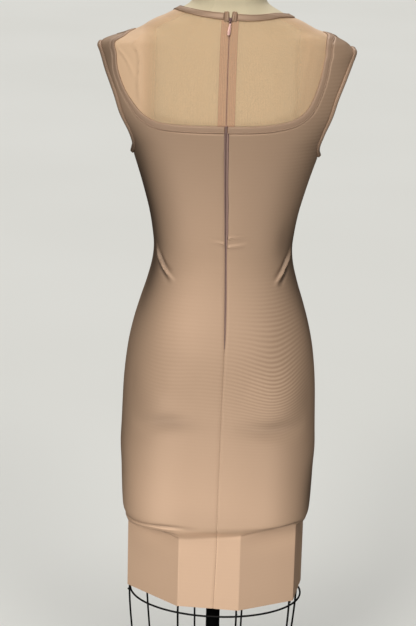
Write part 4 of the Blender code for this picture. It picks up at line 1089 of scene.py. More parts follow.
def roll_block(side):
    """The folded edge of a tape, which fills the slot between the panels."""
    heights = np.append(np.arange(ZIP_END - 6, 1416.0, 3.0), 1418.0)[:, None]
    slot = smooth_through(ZIP_SLOT, heights, 1 if side > 0 else 2)
    low, high = BAND_ROWS
    in_yoke = unit((heights - low) / 3.0)
    wide = slot * (1 - in_yoke) + ROLL_IN_YOKE * in_yoke
    shares, rises = np.array(ROLL_PROFILE).T
    below, beside, above = ROLL_TOPS
    top = np.where(heights < low, below, np.where(heights < high, beside, above))
    lift = np.maximum(top + rises[None] * ROLL_FLATTER, TAPE_AT)
    turns = zip_edge(heights, side, parted(heights) + wide * shares[None])
    return turns, heights, lift, roll_cut_across(shares), heights


def band_end_block(side):
    """The neckband's end, turned in over the tape as a small upright roll that stands proud."""
    heights, crown = BAND_END_CROWN[:, :1], BAND_END_CROWN[:, 1:]
    shares, rises = np.array(BAND_END_PROFILE).T
    edge, leans, low, over = BAND_END_INNER
    inner = edge + leans * unit((heights - low) / over)
    across = inner + (BAND_END_AT - inner) * shares[None]
    turns = zip_edge(heights, side, across)
    return turns, heights, rises[None] + crown, roll_cut_across(shares), heights


def coil(side, name, pitch=COIL_PITCH, wide=1.5, deep=0.42, thread=0.22):
    """A flattened spiral of nylon behind the rolled edge."""
    per_turn, sides, stands_off, lies_at = 6, 4, 0.35, -3.35
    count = int((SLIDER_HEIGHT - ZIP_END) / pitch) * per_turn
    steps = np.arange(count)
    heights = ZIP_END + steps * pitch / per_turn
    angle = 2 * math.pi * steps / per_turn
    turns = zip_edge(heights, side, stands_off + wide / 2 + wide / 2 * np.cos(angle))
    middle = place(turns, heights, lies_at + deep * np.sin(angle))
    ahead = unit_vectors(np.gradient(middle, axis=0))
    first = unit_vectors(np.cross(ahead, outwards(turns, heights)))
    second = np.cross(ahead, first)
    spokes = [first * math.cos(a) + second * math.sin(a) for a in np.arange(sides) * math.pi / 2]
    points = np.stack([middle + thread * spoke for spoke in spokes], axis=1).reshape(-1, 3) * MM
    ring = np.arange(sides)
    base = (np.arange(count - 1) * sides)[:, None]
    after = (ring + 1) % sides
    quads = np.stack((base + ring, base + after, base + sides + after, base + sides + ring), axis=-1)
    caps = [list(ring[::-1]), list(ring + (count - 1) * sides)]
    mesh = bpy.data.meshes.new(name)
    mesh.from_pydata(points.tolist(), [], quads.reshape(-1, 4).tolist() + caps)
    piece = new_piece(name, mesh)
    face_outwards(piece)
    bpy.ops.object.shade_smooth()
    return piece


tapes, rolls, coils, band_ends = {}, {}, {}, {}
for side, word in SIDES:
    tapes[word] = make_cloth(f"zip_tape_{word}_woven", [tape_block(side)], TAPE_THICK, creased=False)
    name = f"zip_tape_{word}_rolled_edge"
    rolls[word] = make_cloth(name, [roll_block(side)], 0.5, creased=False, even=False)
    coils[word] = coil(side, f"zip_coil_{word}")
    name = f"neckband_end_{word}_roll"
    band_ends[word] = make_cloth(name, [band_end_block(side)], 0.6, creased=False, even=False)
print("coil turns a side:", int((SLIDER_HEIGHT - ZIP_END) / COIL_PITCH))

# %% [markdown]
# ## The slider and its tab
# A small lacquered die-casting: a heart-shaped body with a bridge over it, and a thin pressed tab that
# hangs from the bridge. Both are modelled flat at the origin, along the zip's own axes, and then laid on
# the cloth. The tab rides on its own body, because it is the one thing that swings.

# %% The zip's own axes
PIVOT = (1.2, 3.0)  # how far down and out from the slider's centre the tab's hinge lies, in mm
TAB_LEAN, TAB_REST = 7.0, 3.5  # how far the tab hangs to one side and off the cloth, in degrees

slider_turn = float(centre_back(SLIDER_HEIGHT))
out = Vector(outwards(slider_turn, SLIDER_HEIGHT))
out.x = 0.0
out.normalize()
across_zip = Vector((1.0, 0.0, 0.0))
down_zip = out.cross(across_zip)
slider_at = Vector(surface(slider_turn, SLIDER_HEIGHT)) * MM
zip_axes = Matrix.Translation(slider_at) @ Matrix((across_zip, down_zip, out)).transposed().to_4x4()
at_hinge = Matrix.Translation((0.0, PIVOT[0] * MM, PIVOT[1] * MM))
hinge = at_hinge @ Matrix.Rotation(math.radians(-TAB_REST), 4, "X")
print("the slider stands at", [round(v, 4) for v in slider_at])


# %% Picking faces and shaping with operators
def pick(piece, wanted):
    """In edit mode, leaves selected the faces for which wanted(centre, normal) is true."""
    only(piece)
    mesh = piece.data
    for part in (*mesh.edges, *mesh.vertices):
        part.select = False
    for polygon in mesh.polygons:
        polygon.select = bool(wanted(polygon.center, polygon.normal))
        for k in polygon.vertices if polygon.select else ():
            mesh.vertices[k].select = True
    bpy.ops.object.mode_set(mode="EDIT")
    bpy.ops.mesh.select_mode(type="FACE")


def add_cube(name, size, at):
    """A box of this size in mm, as a new object whose place is in its mesh."""
    bpy.ops.mesh.primitive_cube_add(size=1.0, location=[v * MM for v in at])
    piece = bpy.context.object
    piece.name, piece.scale = name, [v * MM for v in size]
    settle()
    return piece


# %% The slider: a box, pinched at its foot, with the bridge extruded from its face
SLIDER, BRIDGE = (5.8, 10.0, 2.2), (1.9, 6.4, 0.9)  # in mm
SLIDER_OUT, BRIDGE_OUT = 0.8, 4.5  # how far out from the cloth their middles lie
FOOT_NARROWER = 0.62
FACE_INSET, FACE_RISES = 0.7, 0.35
BRIDGE_LEG_AT, BRIDGE_LEG = 2.3, 2.6  # where the bridge bends down to the body, and how far
SLIDER_ROUND, BRIDGE_ROUND = (0.55, 4), (0.3, 3)  # radius and segments


def rounded(piece, radius, segments):
    """Gives the piece rounded edges, and applies them."""
    rounding = piece.modifiers.new("rounding", "BEVEL")
    rounding.width, rounding.segments, rounding.limit_method = radius * MM, segments, "ANGLE"
    apply_all(piece)


def make_slider():
    slider = add_cube("zip_slider_cast", SLIDER, (0.0, 0.0, SLIDER_OUT))
    pick(slider, lambda c, n: n.y > 0.9)
    bpy.ops.transform.resize(value=(FOOT_NARROWER, 1.0, 1.0))
    leave_edit()
    pick(slider, lambda c, n: n.z > 0.9)
    bpy.ops.mesh.inset(thickness=FACE_INSET * MM)
    bpy.ops.transform.translate(value=(0.0, 0.0, FACE_RISES * MM))
    leave_edit()
    bridge = add_cube("bridge", BRIDGE, (0.0, 0.0, BRIDGE_OUT))
    for end in (-1, 1):
        edit_all(bridge)
        plane = (0.0, end * BRIDGE_LEG_AT * MM, 0.0)
        bpy.ops.mesh.bisect(plane_co=plane, plane_no=(0.0, 1.0, 0.0))
        leave_edit()
        pick(bridge, lambda c, n, end=end: n.z < -0.9 and end * c.y > (BRIDGE_LEG_AT + 0.05) * MM)
        bpy.ops.mesh.extrude_region_move(TRANSFORM_OT_translate={"value": (0.0, 0.0, -BRIDGE_LEG * MM)})
        leave_edit()
    rounded(bridge, *BRIDGE_ROUND)
    rounded(slider, *SLIDER_ROUND)
    bridge.select_set(True)
    bpy.ops.object.join()
    slider.data.transform(zip_axes)
    return slider


slider = make_slider()
print("slider faces:", len(slider.data.polygons))


# %% The tab: a flat drop with a raised rim, and an eye that the bridge passes through
TAB_PROFILE = (  # distance down from the hinge, half width, in mm
    (4.4, 1.2), (5.6, 1.5), (8, 2), (12, 2.4), (17, 2.8), (20.5, 2.7), (22.8, 1.9), (23.8, 0.8),
)
TAB_TOP, TAB_TIP = TAB_PROFILE[0][0], TAB_PROFILE[-1][0]
TAB_CELLS = (8, 36)  # across and down
TAB_WALL, TAB_LIES = 0.65, 0.1  # its thickness, and how far out its edge lies, in mm
TAB_DOME, TAB_RIM, TAB_RIM_AT = 0.42, 0.22, 0.75  # how far it swells, and a rim this share of the way out
EYE_RADIUS, EYE_WIRE, EYE_AT = 1.0, 0.26, 2.1
EYE_STRETCHED = (1.55, 2.6, 1.9)


def make_tab():
    bpy.ops.mesh.primitive_grid_add(x_subdivisions=TAB_CELLS[0], y_subdivisions=TAB_CELLS[1], size=1.0)
    tab = bpy.context.object
    tab.name = "zip_pull_tab"
    profile = np.array(TAB_PROFILE)
    for vertex in tab.data.vertices:
        down = TAB_TOP + (vertex.co.y + 0.5) * (TAB_TIP - TAB_TOP)
        half = smooth_through(profile, down)
        across = 2 * vertex.co.x
        lean = math.tan(math.radians(TAB_LEAN)) * (down - TAB_TOP)
        dome = TAB_DOME * (1 - across**2) + (TAB_RIM if abs(abs(across) - TAB_RIM_AT) < 0.01 else 0.0)
        vertex.co = ((across * half + lean) * MM, down * MM, (TAB_LIES + dome) * MM)
    wall = tab.modifiers.new("wall", "SOLIDIFY")
    wall.thickness, wall.offset = TAB_WALL * MM, -1.0
    soft = tab.modifiers.new("soft", "SUBSURF")
    soft.levels = soft.render_levels = 1
    apply_all(tab)
    bpy.ops.mesh.primitive_torus_add(
        major_segments=40, minor_segments=12, major_radius=EYE_RADIUS * MM, minor_radius=EYE_WIRE * MM,
    )
    eye = bpy.context.object
    bpy.ops.transform.resize(value=EYE_STRETCHED)
    bpy.ops.transform.translate(value=(0.0, EYE_AT * MM, 0.0))
    settle()
    bpy.ops.object.shade_smooth()
    only(tab)
    eye.select_set(True)
    bpy.ops.object.join()
    tab.data.transform(zip_axes @ hinge)
    return tab


tab = make_tab()
print("tab faces:", len(tab.data.polygons))

# %% [markdown]
# ## Topstitching
# A row of lockstitch in polyester thread runs along each edge of the yoke's band, and one along the
# lower edge of the neckband and along each binding. One stitch is modelled, as a stretched ball, and is
# then repeated along the line. A row has hundreds, so each has few faces.

# %% One stitch, repeated along a line on the surface
STITCH = (2.3, 0.42)  # length and thickness in mm
STITCH_PITCH = 3.0
STITCH_LIES = 0.12  # how far out from the strip's face


def one_stitch():
    bpy.ops.mesh.primitive_uv_sphere_add(segments=6, ring_count=4, radius=0.5)
    ball = bpy.context.object
    ball.rotation_euler = (0.0, math.pi / 2, 0.0)
    ball.scale = (STITCH[1], STITCH[1], STITCH[0])
    settle()
    points = np.array([vertex.co for vertex in ball.data.vertices])
    faces = [tuple(polygon.vertices) for polygon in ball.data.polygons]
    bpy.data.objects.remove(ball)
    return points, faces


STITCH_POINTS, STITCH_FACES = one_stitch()


def stitch_rows(name, rows):
    """A joined mesh of stitches. Each row is a curve of (turn, height) pairs and how far out it lies."""
    points, faces, count = [], [], 0
    for curve, lift in rows:
        own = lengths_of(curve)
        at = np.arange(STITCH_PITCH / 2, own[-1], STITCH_PITCH)
        turns, heights = (np.interp(at, own, curve[:, k]) for k in (0, 1))
        relief = relief_at(surface(turns, heights), FINE_PADDING + FINE_CREASES)
        middle = place(turns, heights, lift + relief)
        ahead = unit_vectors(np.gradient(middle, axis=0))
        normal = outwards(turns, heights)
        sideways = np.cross(normal, ahead)
        axes = np.stack((ahead, sideways, normal), axis=1)
        placed = middle[:, None] + STITCH_POINTS @ axes
        points.append(placed.reshape(-1, 3) * MM)
        for k in range(len(at)):
            faces += [[v + count + k * len(STITCH_POINTS) for v in face] for face in STITCH_FACES]
        count += placed.shape[0] * placed.shape[1]
    mesh = bpy.data.meshes.new(name)
    mesh.from_pydata(np.concatenate(points).tolist(), [], faces)
    piece = new_piece(name, mesh)
    bpy.ops.object.shade_smooth()
    print(f"{name}: {count // len(STITCH_POINTS)} stitches")
    return piece


def strip_line(lines, profile, share):
    """The line this share of the way across a strip."""
    k = min(range(len(profile)), key=lambda n: abs(profile[n][0] - share))
    return lines[k], profile[k][1] + STITCH_LIES


BAND_EDGES, BINDING_EDGE = (0.14, 0.86), 0.74  # where the rows lie, as shares of the way across
stitching = {
    "yoke_band": stitch_rows("topstitch_yoke_band", [
        strip_line(band_lines(side, is_front), BAND_PROFILE, share)
        for side, is_front in QUARTERS for share in BAND_EDGES
    ]),
    "neckband": stitch_rows("topstitch_neckband", [
        strip_line(neckband_lines(), BAND_PROFILE, share) for share in BAND_EDGES[:1]
    ]),
    "bindings": stitch_rows("topstitch_armhole_bindings", [
        strip_line(binding_lines(side), BINDING_PROFILE, BINDING_EDGE) for side, _ in SIDES
    ]),
}

# %% [markdown]
# ## The dress form
# The torso is padded and covered in linen, cut in panels with princess seams. The cover is a stack of
# rings on the form's own surface. Where two panels of the cover meet, it has a fine ridge.

# %% The torso
FORM_GAP, FORM_GAP_BODICE, FORM_GAP_ZIP = -2.6, -2.8, -4.0
ZIP_REACH = (24.0, 10.0)  # the zip's hollow ends at this turn, over so many degrees
FORM_FOOT = ((542.0, 0.945), (542.6, 0.957), (544.5, 0.972), (547.0, 0.982), (550.5, 0.99))
FORM_SEAMS = (0.0, 24.0, 90.0, 156.0, 180.0, 204.0, 270.0, 336.0)
SEAM_RIDGE, SEAM_RIDGE_WIDE, SEAMS_END = 0.4, 1.1, 1455.0  # height in mm, half width in degrees, upper end
ARM_PLATES = {1: (47, 3.0, 0.3), -1: (38, 1.6, 0.2)}  # turn of each arm plate's edge, its depth, its rim
PLATE_SLOPES = (4.0, 134.0, 8.0)  # it sinks over so many degrees, ends at this turn, over so many
PLATE_RIM_WIDE = 1.6
PLATE_HEIGHTS = (1200.0, 30.0, 1392.0, 26.0)  # where it starts and ends, over how many mm
TORSO_SIDES = 240
TORSO_ROWS = np.concatenate((np.arange(557.0, 1370.0, 7.0), np.arange(1370.0, 1484.0, 3.0), (1484.0,)))
NECK_END = ((1486.6, 0.985), (1488.0, 0.955))  # height, size against the last ring


def form_gap(turn, height):
    """How far inside the knit's outer face the linen lies."""
    turn = wrapped(turn)
    ends, over = ZIP_REACH
    under_zip = unit((ends - np.abs(turn)) / over)
    bodice = FORM_GAP_BODICE * (1 - under_zip) + FORM_GAP_ZIP * under_zip
    return np.where(height < ZIP_END - 10, FORM_GAP, bodice)


def arm_plates(turn, height):
    """How far the linen sinks to the flat plates where arms would be."""
    turn = wrapped(turn)
    sunk = np.zeros(np.broadcast(turn, height).shape)
    over, end, end_over = PLATE_SLOPES
    for side, (edge, depth, rim) in ARM_PLATES.items():
        past = unit((side * turn - edge) / over) * unit((end - side * turn) / end_over)
        sunk += rim * bell((side * turn - edge) / PLATE_RIM_WIDE) - depth * past * past * (3 - 2 * past)
    low, low_over, high, high_over = PLATE_HEIGHTS
    return sunk * unit((height - low) / low_over) * unit((high - height) / high_over)


def make_torso():
    bpy.ops.mesh.primitive_circle_add(vertices=TORSO_SIDES, radius=0.1, fill_type="NGON")
    torso = bpy.context.object
    torso.name = "form_torso_linen"
    edit_all(torso)
    step = 0.01
    for _ in range(len(FORM_FOOT) + len(TORSO_ROWS) + len(NECK_END) - 1):
        bpy.ops.mesh.extrude_region_move(TRANSFORM_OT_translate={"value": (0.0, 0.0, step)})
    leave_edit()
    turns = np.linspace(0.0, 360.0, TORSO_SIDES, endpoint=False)
    rings = [form_surface(turns, height) * (size, size, 0.0) + (0.0, 0.0, height)
             for height, size in FORM_FOOT]
    seams = sum(bell(wrapped(turns - seam) / SEAM_RIDGE_WIDE) for seam in FORM_SEAMS)
    for height in TORSO_ROWS:
        ridges = SEAM_RIDGE * seams * (height < SEAMS_END)
        gap = form_gap(turns, height) + ridges + arm_plates(turns, height)
        gap = gap + relief_at(form_surface(turns, height), FINE_PADDING)
        rings.append(place(turns, height, gap, form_surface))
    last = rings[-1]
    rings += [last * (size, size, 0.0) + (0.0, 0.0, height) for height, size in NECK_END]
    # Each vertex belongs to the ring and the spoke that it was extruded into.
    places = np.array([vertex.co for vertex in torso.data.vertices])
    ring = np.round(places[:, 2] / step).astype(int)
    turn = np.degrees(np.arctan2(places[:, 0], places[:, 1])) % 360
    spoke = np.round(turn * TORSO_SIDES / 360).astype(int) % TORSO_SIDES
    torso.data.vertices.foreach_set("co", (np.array(rings)[ring, spoke] * MM).ravel())
    face_outwards(torso)
    apply_all(torso, 60.0)
    return torso


torso = make_torso()
print("torso faces:", len(torso.data.polygons))

# %% [markdown]
# ## The cage
# Eight steel rods hang from the torso's lower edge and are welded to two hoops. Each rod is a Bezier
# curve with a round bevel, turned into a mesh, and each weld is a small flattened ball.

# %% Rods, hoops and welds
CAGE_INSET, WIRE, CAGE_FOOT, HOOP_UPPER = 4.0, 3.5, 200.0, 380.0
CAGE_TAPER = np.array((  # height, size of the cage against its size under the hem
    (200, 0.92), (260, 0.938), (310, 0.97), (350, 0.992), (380, 1), (470, 1), (542, 0.955),
))
ROD_TOP = FORM_FOOT[0][0] - SEAM
HOOP_SHIFT, HOOP_TILT = -3.0, 2.4  # how far the upper hoop is bent off the middle, and down at the left
WELD, WELD_TALLER = 1.8, 1.15  # radius, and how much taller than wide


def cage_point(turn, height, beyond=0.0):
    size = smooth_through(CAGE_TAPER, height)
    half_width, half_depth = (size * (reach - CAGE_INSET) + beyond for reach in CAGE_OVER_CLOTH)
    x, y = oval(turn, half_width, half_depth, half_depth, 2.0)
    return (float(x) * MM, float(y) * MM, float(height) * MM)


def rod(name, path, closed=False):
    """A round rod through points in metres."""
    curve = bpy.data.curves.new(name, "CURVE")
    curve.dimensions, curve.bevel_depth, curve.bevel_resolution = "3D", WIRE / 2 * MM, 3
    curve.use_fill_caps = not closed
    spline = curve.splines.new("POLY")
    spline.points.add(len(path) - 1)
    for point, at in zip(spline.points, path):
        point.co = (*at, 1.0)
    spline.use_cyclic_u = closed
    new_piece(name, curve)
    bpy.ops.object.convert(target="MESH")
    bpy.ops.object.shade_smooth_by_angle(angle=math.radians(50))
    return bpy.context.object


rods = [
    rod(f"cage_rod_{number}", [cage_point(turn, h) for h in np.linspace(CAGE_FOOT, ROD_TOP, 40)])
    for number, turn in enumerate(WIRE_TURNS)
]
hoops = {}
for word, height in (("upper", HOOP_UPPER), ("lower", CAGE_FOOT + WIRE)):
    ring = [cage_point(turn, height, beyond=WIRE + SEAM) for turn in np.arange(0.0, 360.0, 3.0)]
    if word == "upper":
        reach = max(x for x, _, _ in ring)
        wider, shift = 1 + HOOP_SHIFT * MM / reach, HOOP_SHIFT * MM
        ring = [(x * wider + shift, y, z + (x / reach - 1) * HOOP_TILT * MM) for x, y, z in ring]
    hoops[word] = rod(f"cage_hoop_{word}_rod", ring, closed=True)
    welds = []
    for turn in WIRE_TURNS:
        at = cage_point(turn, height, (WIRE + SEAM) / 2)
        bpy.ops.mesh.primitive_uv_sphere_add(segments=12, ring_count=8, radius=WELD * MM, location=at)
        welds.append(bpy.context.object)
        bpy.ops.transform.resize(value=(1.0, 1.0, WELD_TALLER))
        settle()
        bpy.ops.object.shade_smooth()
    only(hoops[word])
    for weld in welds:
        weld.select_set(True)
    bpy.ops.object.join()
print("rods:", len(rods), "welds a hoop:", len(WIRE_TURNS))

# %% [markdown]
# ## The pole, its flange and the foot
# All three are turned: one profile each, spun round the upright axis. The foot is a shallow casting with
# a raised hub, the pole a plain tube and the flange a disc that it is screwed into under the torso.

# %% Turned pieces
POLE_RADIUS, FLANGE = 12.5, (34.0, 8.0)
FOOT_OUTLINE = (  # radius and height in mm, from the rim's foot in to the hub
    (0, 0), (214, 0), (215, 1), (215, 4.6), (214.2, 6.4), (211, 8), (150, 10.3), (60, 14), (44, 15.9),
    (32, 19), (26.6, 23.5), (24, 30), (21.6, 57), (21, 60.6), (20.2, 61.7), (19, 62), (0, 62),
)


def turned(name, outline, steps):
    """Spins an outline of (radius, height) pairs in mm round the upright axis."""
    mesh = bpy.data.meshes.new(name)
    edges = [(k, k + 1) for k in range(len(outline) - 1)]
    mesh.from_pydata([(r * MM, 0.0, h * MM) for r, h in outline], edges, [])
    piece = new_piece(name, mesh)
    edit_all(piece)
    bpy.ops.mesh.spin(steps=steps, angle=2 * math.pi, center=(0, 0, 0), axis=(0, 0, 1))
    bpy.ops.mesh.select_all(action="SELECT")
    bpy.ops.mesh.remove_doubles(threshold=1e-5)
    leave_edit()
    face_outwards(piece)
    apply_all(piece, 30.0)
    return piece


radius, thick = FLANGE
pole_low, pole_high = FOOT_OUTLINE[-1][1] + SEAM, ROD_TOP - thick - SEAM
EASED, FLANGE_EASED = 0.4, 1.0  # the bevels on their edges
base = turned("stand_base_cast", FOOT_OUTLINE, 120)
pole = turned("stand_pole_tube", (
    (0.0, pole_low), (POLE_RADIUS - EASED, pole_low), (POLE_RADIUS, pole_low + EASED),
    (POLE_RADIUS, pole_high - EASED), (POLE_RADIUS - EASED, pole_high), (0.0, pole_high),
), 64)
flange = turned("pole_flange_cast", (
    (0.0, ROD_TOP - thick), (radius - FLANGE_EASED, ROD_TOP - thick),
    (radius, ROD_TOP - thick + FLANGE_EASED), (radius, ROD_TOP - FLANGE_EASED),
    (radius - FLANGE_EASED, ROD_TOP), (0.0, ROD_TOP),
), 64)
print("pole from", pole_low, "to", pole_high, "mm")

# %% [markdown]
# ## Colours and nodes
# Each material starts from a hex colour as a screen shows it, turned to linear light by one function.
# One more function adds a node, sets its values and links its inputs.


# %% Colour and node helpers
def colour(hexes):
    """An sRGB hex colour as linear red, green, blue and an alpha of one."""
    channels = [int(hexes[k : k + 2], 16) / 255 for k in (1, 3, 5)]
    return (*(c / 12.92 if c <= 0.04045 else ((c + 0.055) / 1.055) ** 2.4 for c in channels), 1.0)


def feed(node, feeds):
    """Gives inputs of a node a value each, or links them to a socket or to another node's first output."""
    for key, value in feeds.items():
        if isinstance(value, bpy.types.Node):
            value = value.outputs[0]
        if isinstance(value, bpy.types.NodeSocket):
            node.id_data.links.new(value, node.inputs[key])
        else:
            node.inputs[key].default_value = value


def add(tree, kind, feeds=None, **settings):
    """Adds a node with its settings and links."""
    node = tree.nodes.new("ShaderNode" + kind)
    for key, value in settings.items():
        setattr(node, key, value)
    feed(node, feeds or {})
    return node


def material(name, **sockets):
    """A material with a Principled BSDF, and its tree and shader to build on."""
    made = bpy.data.materials.new(name)
    made.use_nodes = True
    shader = made.node_tree.nodes["Principled BSDF"]
    feed(shader, {key.replace("_", " "): value for key, value in sockets.items()})
    return made, made.node_tree, shader


def paint(piece, made):
    piece.data.materials.clear()
    piece.data.materials.append(made)


# %% [markdown]
# ## Bandage knit
# Rayon, nylon and elastane, knitted tight in fine level courses. The rayon gives it a satin lustre in
# its own colour, which dies away as it turns from the light, so part of its shine is tinted as a
# metal's is. The real courses are 1.2 mm apart. That is too fine to show, so they are drawn at 6 mm,
# as they beat against the eye from a few steps away, as a bump and as stripes of painted light and
# shade. The attribute "ribs" says where the light catches them, and "tone" carries painted light and
# shade: paler patches where the knit stands in light, deeper ones where it lies in shade, and painted
# shade in its creases.

# %% Bandage knit
COURSE_DRAWN = 6.2


def knit_material(name, base, shade, light, course, contrast):
    made, tree, shader = material(name, Metallic=0.25, Roughness=0.55)
    cut = add(tree, "UVMap", uv_map="cut")
    parts = add(tree, "SeparateXYZ", {0: cut})
    waver = add(tree, "TexNoise", {"Vector": cut, "Scale": 14.0, "Detail": 2.0})
    wavy = add(tree, "Math", {0: waver, 1: 0.004, 2: parts.outputs[1]}, operation="MULTIPLY_ADD")
    phase = add(tree, "Math", {0: wavy, 1: 2 * math.pi / (course * MM)}, operation="MULTIPLY")
    courses = add(tree, "Math", {0: phase}, operation="SINE")
    clear = add(tree, "Attribute", attribute_name="ribs")
    rib = add(tree, "Math", {0: courses, 1: clear.outputs["Fac"]}, operation="MULTIPLY")
    level_rib = add(tree, "Math", {0: rib, 1: contrast, 2: 0.5}, operation="MULTIPLY_ADD")
    mottle = add(tree, "TexNoise", {"Vector": cut, "Scale": 420.0, "Detail": 3.0, "Roughness": 0.75})
    # Painted light and shade: the courses are stripes of the shade and light colours, as clear as "ribs"
    # says.
    ribbed = add(tree, "Mix", {0: level_rib, 6: colour(shade), 7: colour(light)}, data_type="RGBA")
    grain = add(tree, "MapRange", {0: mottle, 1: 0.3, 2: 0.7, 4: 0.5})
    final = add(tree, "Mix", {0: grain, 6: ribbed.outputs[2], 7: colour(base)}, data_type="RGBA")
    # Painted light and shade: the colour is multiplied by the attribute "tone".
    tone = add(tree, "Attribute", attribute_name="tone").outputs["Color"]
    dyed = {0: 1.0, 6: final.outputs[2], 7: tone}
    toned = add(tree, "Mix", dyed, data_type="RGBA", blend_type="MULTIPLY")
    height = add(tree, "Math", {0: mottle, 1: 0.5, 2: rib}, operation="MULTIPLY_ADD")
    bump = add(tree, "Bump", {"Height": height, "Strength": 0.35, "Distance": 0.0004})
    feed(shader, {"Base Color": toned.outputs[2], "Normal": bump})
    return made


knit = knit_material("bandage knit", "#B8997F", "#A2846B", "#CBAC91", COURSE_DRAWN, 0.4)
strip = knit_material("bandage strip", "#B6977F", "#A5866D", "#C6A78E", 2.4, 0.3)
for piece in (back_left, back_right, front):
    paint(piece, knit)
for piece in (*bands.values(), neckband, *bindings.values()):
    paint(piece, strip)
print("knit drawn every", COURSE_DRAWN, "mm")

# %% [markdown]
# ## Sheer mesh
# Power mesh: a fine yarn in an open net, so most of the light comes through to the linen. Its holes are
# 0.9 mm wide, and they are drawn at 2.4 mm, as a faint change in how much shows through. Where the net
# turns edge on at the shoulders, or hangs free past the form, it looks closed, as "tone" says.

# %% Sheer mesh
def mesh_material():
    made, tree, shader = material("sheer mesh", Roughness=0.75, Sheen_Weight=0.25, Specular_IOR_Level=0.25)
    cut = add(tree, "UVMap", uv_map="cut")
    closed = add(tree, "Attribute", attribute_name="tone").outputs["Fac"]
    dye = add(tree, "Mix", {0: closed, 6: colour("#F7D4AA"), 7: colour("#F0CBA6")}, data_type="RGBA")
    holes = add(tree, "TexVoronoi", {"Vector": cut, "Scale": 1 / 0.0024, "Randomness": 0.35})
    fine = add(tree, "TexNoise", {"Vector": cut, "Scale": 420.0, "Detail": 1.0})
    both = add(tree, "Math", {0: fine, 1: 0.25, 2: holes}, operation="MULTIPLY_ADD")
    net = add(tree, "MapRange", {0: both, 1: 0.1, 2: 0.8, 3: 0.23, 4: 0.3})
    cover = add(tree, "MapRange", {0: closed, 3: net, 4: 0.98})
    feed(shader, {"Base Color": dye.outputs[2], "Alpha": cover})
    return made


mesh_cloth = mesh_material()
for piece in yokes.values():
    paint(piece, mesh_cloth)
print("mesh pieces:", len(yokes))

# %% [markdown]
# ## Linen
# The form's cover is unbleached linen in plain weave, with slubs. Threads lie 0.7 mm apart and are drawn
# at 1.8 mm, by two waves at right angles on object coordinates.

# %% Linen
def linen_material():
    made, tree, shader = material(
        "unbleached linen", Roughness=0.9, Sheen_Weight=0.15, Specular_IOR_Level=0.2)
    place_in = add(tree, "TexCoord").outputs["Object"]
    threads = {"Vector": place_in, "Scale": 175.0, "Distortion": 1.5}
    across = add(tree, "TexWave", threads, bands_direction="X")
    upward = add(tree, "TexWave", threads, bands_direction="Z")
    weave = add(tree, "Math", {0: across.outputs[1], 1: upward.outputs[1]}, operation="MULTIPLY")
    slubs = add(tree, "TexNoise", {"Vector": place_in, "Scale": 60.0, "Detail": 3.0})
    shade = add(tree, "Math", {0: slubs, 1: 0.6, 2: weave}, operation="MULTIPLY_ADD")
    tone = add(tree, "MapRange", {0: shade, 1: 0.1, 2: 1.1})
    cloth = add(tree, "Mix", {0: tone, 6: colour("#DDCFAE"), 7: colour("#E4D7B8")}, data_type="RGBA")
    bump = add(tree, "Bump", {"Height": shade, "Strength": 0.15, "Distance": 0.0002})
    feed(shader, {"Base Color": cloth.outputs[2], "Normal": bump})
    return made


paint(torso, linen_material())
print("linen on", torso.name)

# %% [markdown]
# ## Zip tape, nylon and thread
# The tape is polyester in herringbone, dyed a pinker shade than the knit, the rolled edges are the same
# tape seen edge on, with painted shade at their sides and painted light along their middle and above
# the band, and the coil is bare nylon.

# %% Zip tape, rolled edge, nylon and thread
def tape_material(name, light, dark, spacing, painted_light_above_band=None):
    made, tree, shader = material(name, Roughness=0.7, Sheen_Weight=0.15)
    cut = add(tree, "UVMap", uv_map="cut")
    parts = add(tree, "SeparateXYZ", {0: cut})
    lines = add(tree, "Math", {0: parts, 1: 2 * math.pi / (spacing * MM)}, operation="MULTIPLY")
    ribs = add(tree, "Math", {0: lines}, operation="SINE")
    speckle = add(tree, "TexNoise", {"Vector": cut, "Scale": 500.0, "Detail": 2.0})
    mix = add(tree, "Math", {0: ribs, 1: 0.35, 2: speckle}, operation="MULTIPLY_ADD")
    tone = add(tree, "MapRange", {0: mix, 1: 0.1, 2: 0.9})
    cloth = add(tree, "Mix", {0: tone, 6: colour(dark), 7: colour(light)}, data_type="RGBA")
    if painted_light_above_band:
        # Painted light: above the band, where only the mesh covers the zip, the tape is painted paler.
        upper = add(tree, "MapRange", {0: parts.outputs[1], 1: 1.2485, 2: 1.2495, 4: 0.75})
        cloth = add(tree, "Mix", {0: upper, 6: cloth.outputs[2], 7: colour(painted_light_above_band)}, data_type="RGBA")
    bump = add(tree, "Bump", {"Height": mix, "Strength": 0.4, "Distance": 0.0003})
    feed(shader, {"Base Color": cloth.outputs[2], "Normal": bump})
    return made


tape_cloth = tape_material("herringbone zip tape", "#CF9F86", "#AE7B68", 2.8)
# The rolled edge: painted shade at its sides, painted light along its middle, and painted paler above the
# band.
rolled_cloth = tape_material("rolled zip tape", "#A5877C", "#6E504B", 12.0, "#C79C86")


def spotted_material(name, light, dark, scale, **sockets):
    """A thread or a filament, with the fine unevenness of its dye."""
    made, tree, shader = material(name, **sockets)
    spots = add(tree, "TexNoise", {"Scale": scale, "Detail": 1.0})
    mixed = add(tree, "Mix", {0: spots, 6: colour(dark), 7: colour(light)}, data_type="RGBA")
    feed(shader, {"Base Color": mixed.outputs[2]})
    return made


nylon = spotted_material("nylon coil", "#B88E80", "#A27A70", 300.0, Roughness=0.35)
thread = spotted_material("polyester thread", "#E2C3A6", "#CBA78A", 900.0, Roughness=0.55, Sheen_Weight=0.3)
for word in ("left", "right"):
    paint(tapes[word], tape_cloth)
    paint(rolls[word], rolled_cloth)
    paint(band_ends[word], strip)
    paint(coils[word], nylon)
for piece in stitching.values():
    paint(piece, thread)
print("zip materials done")

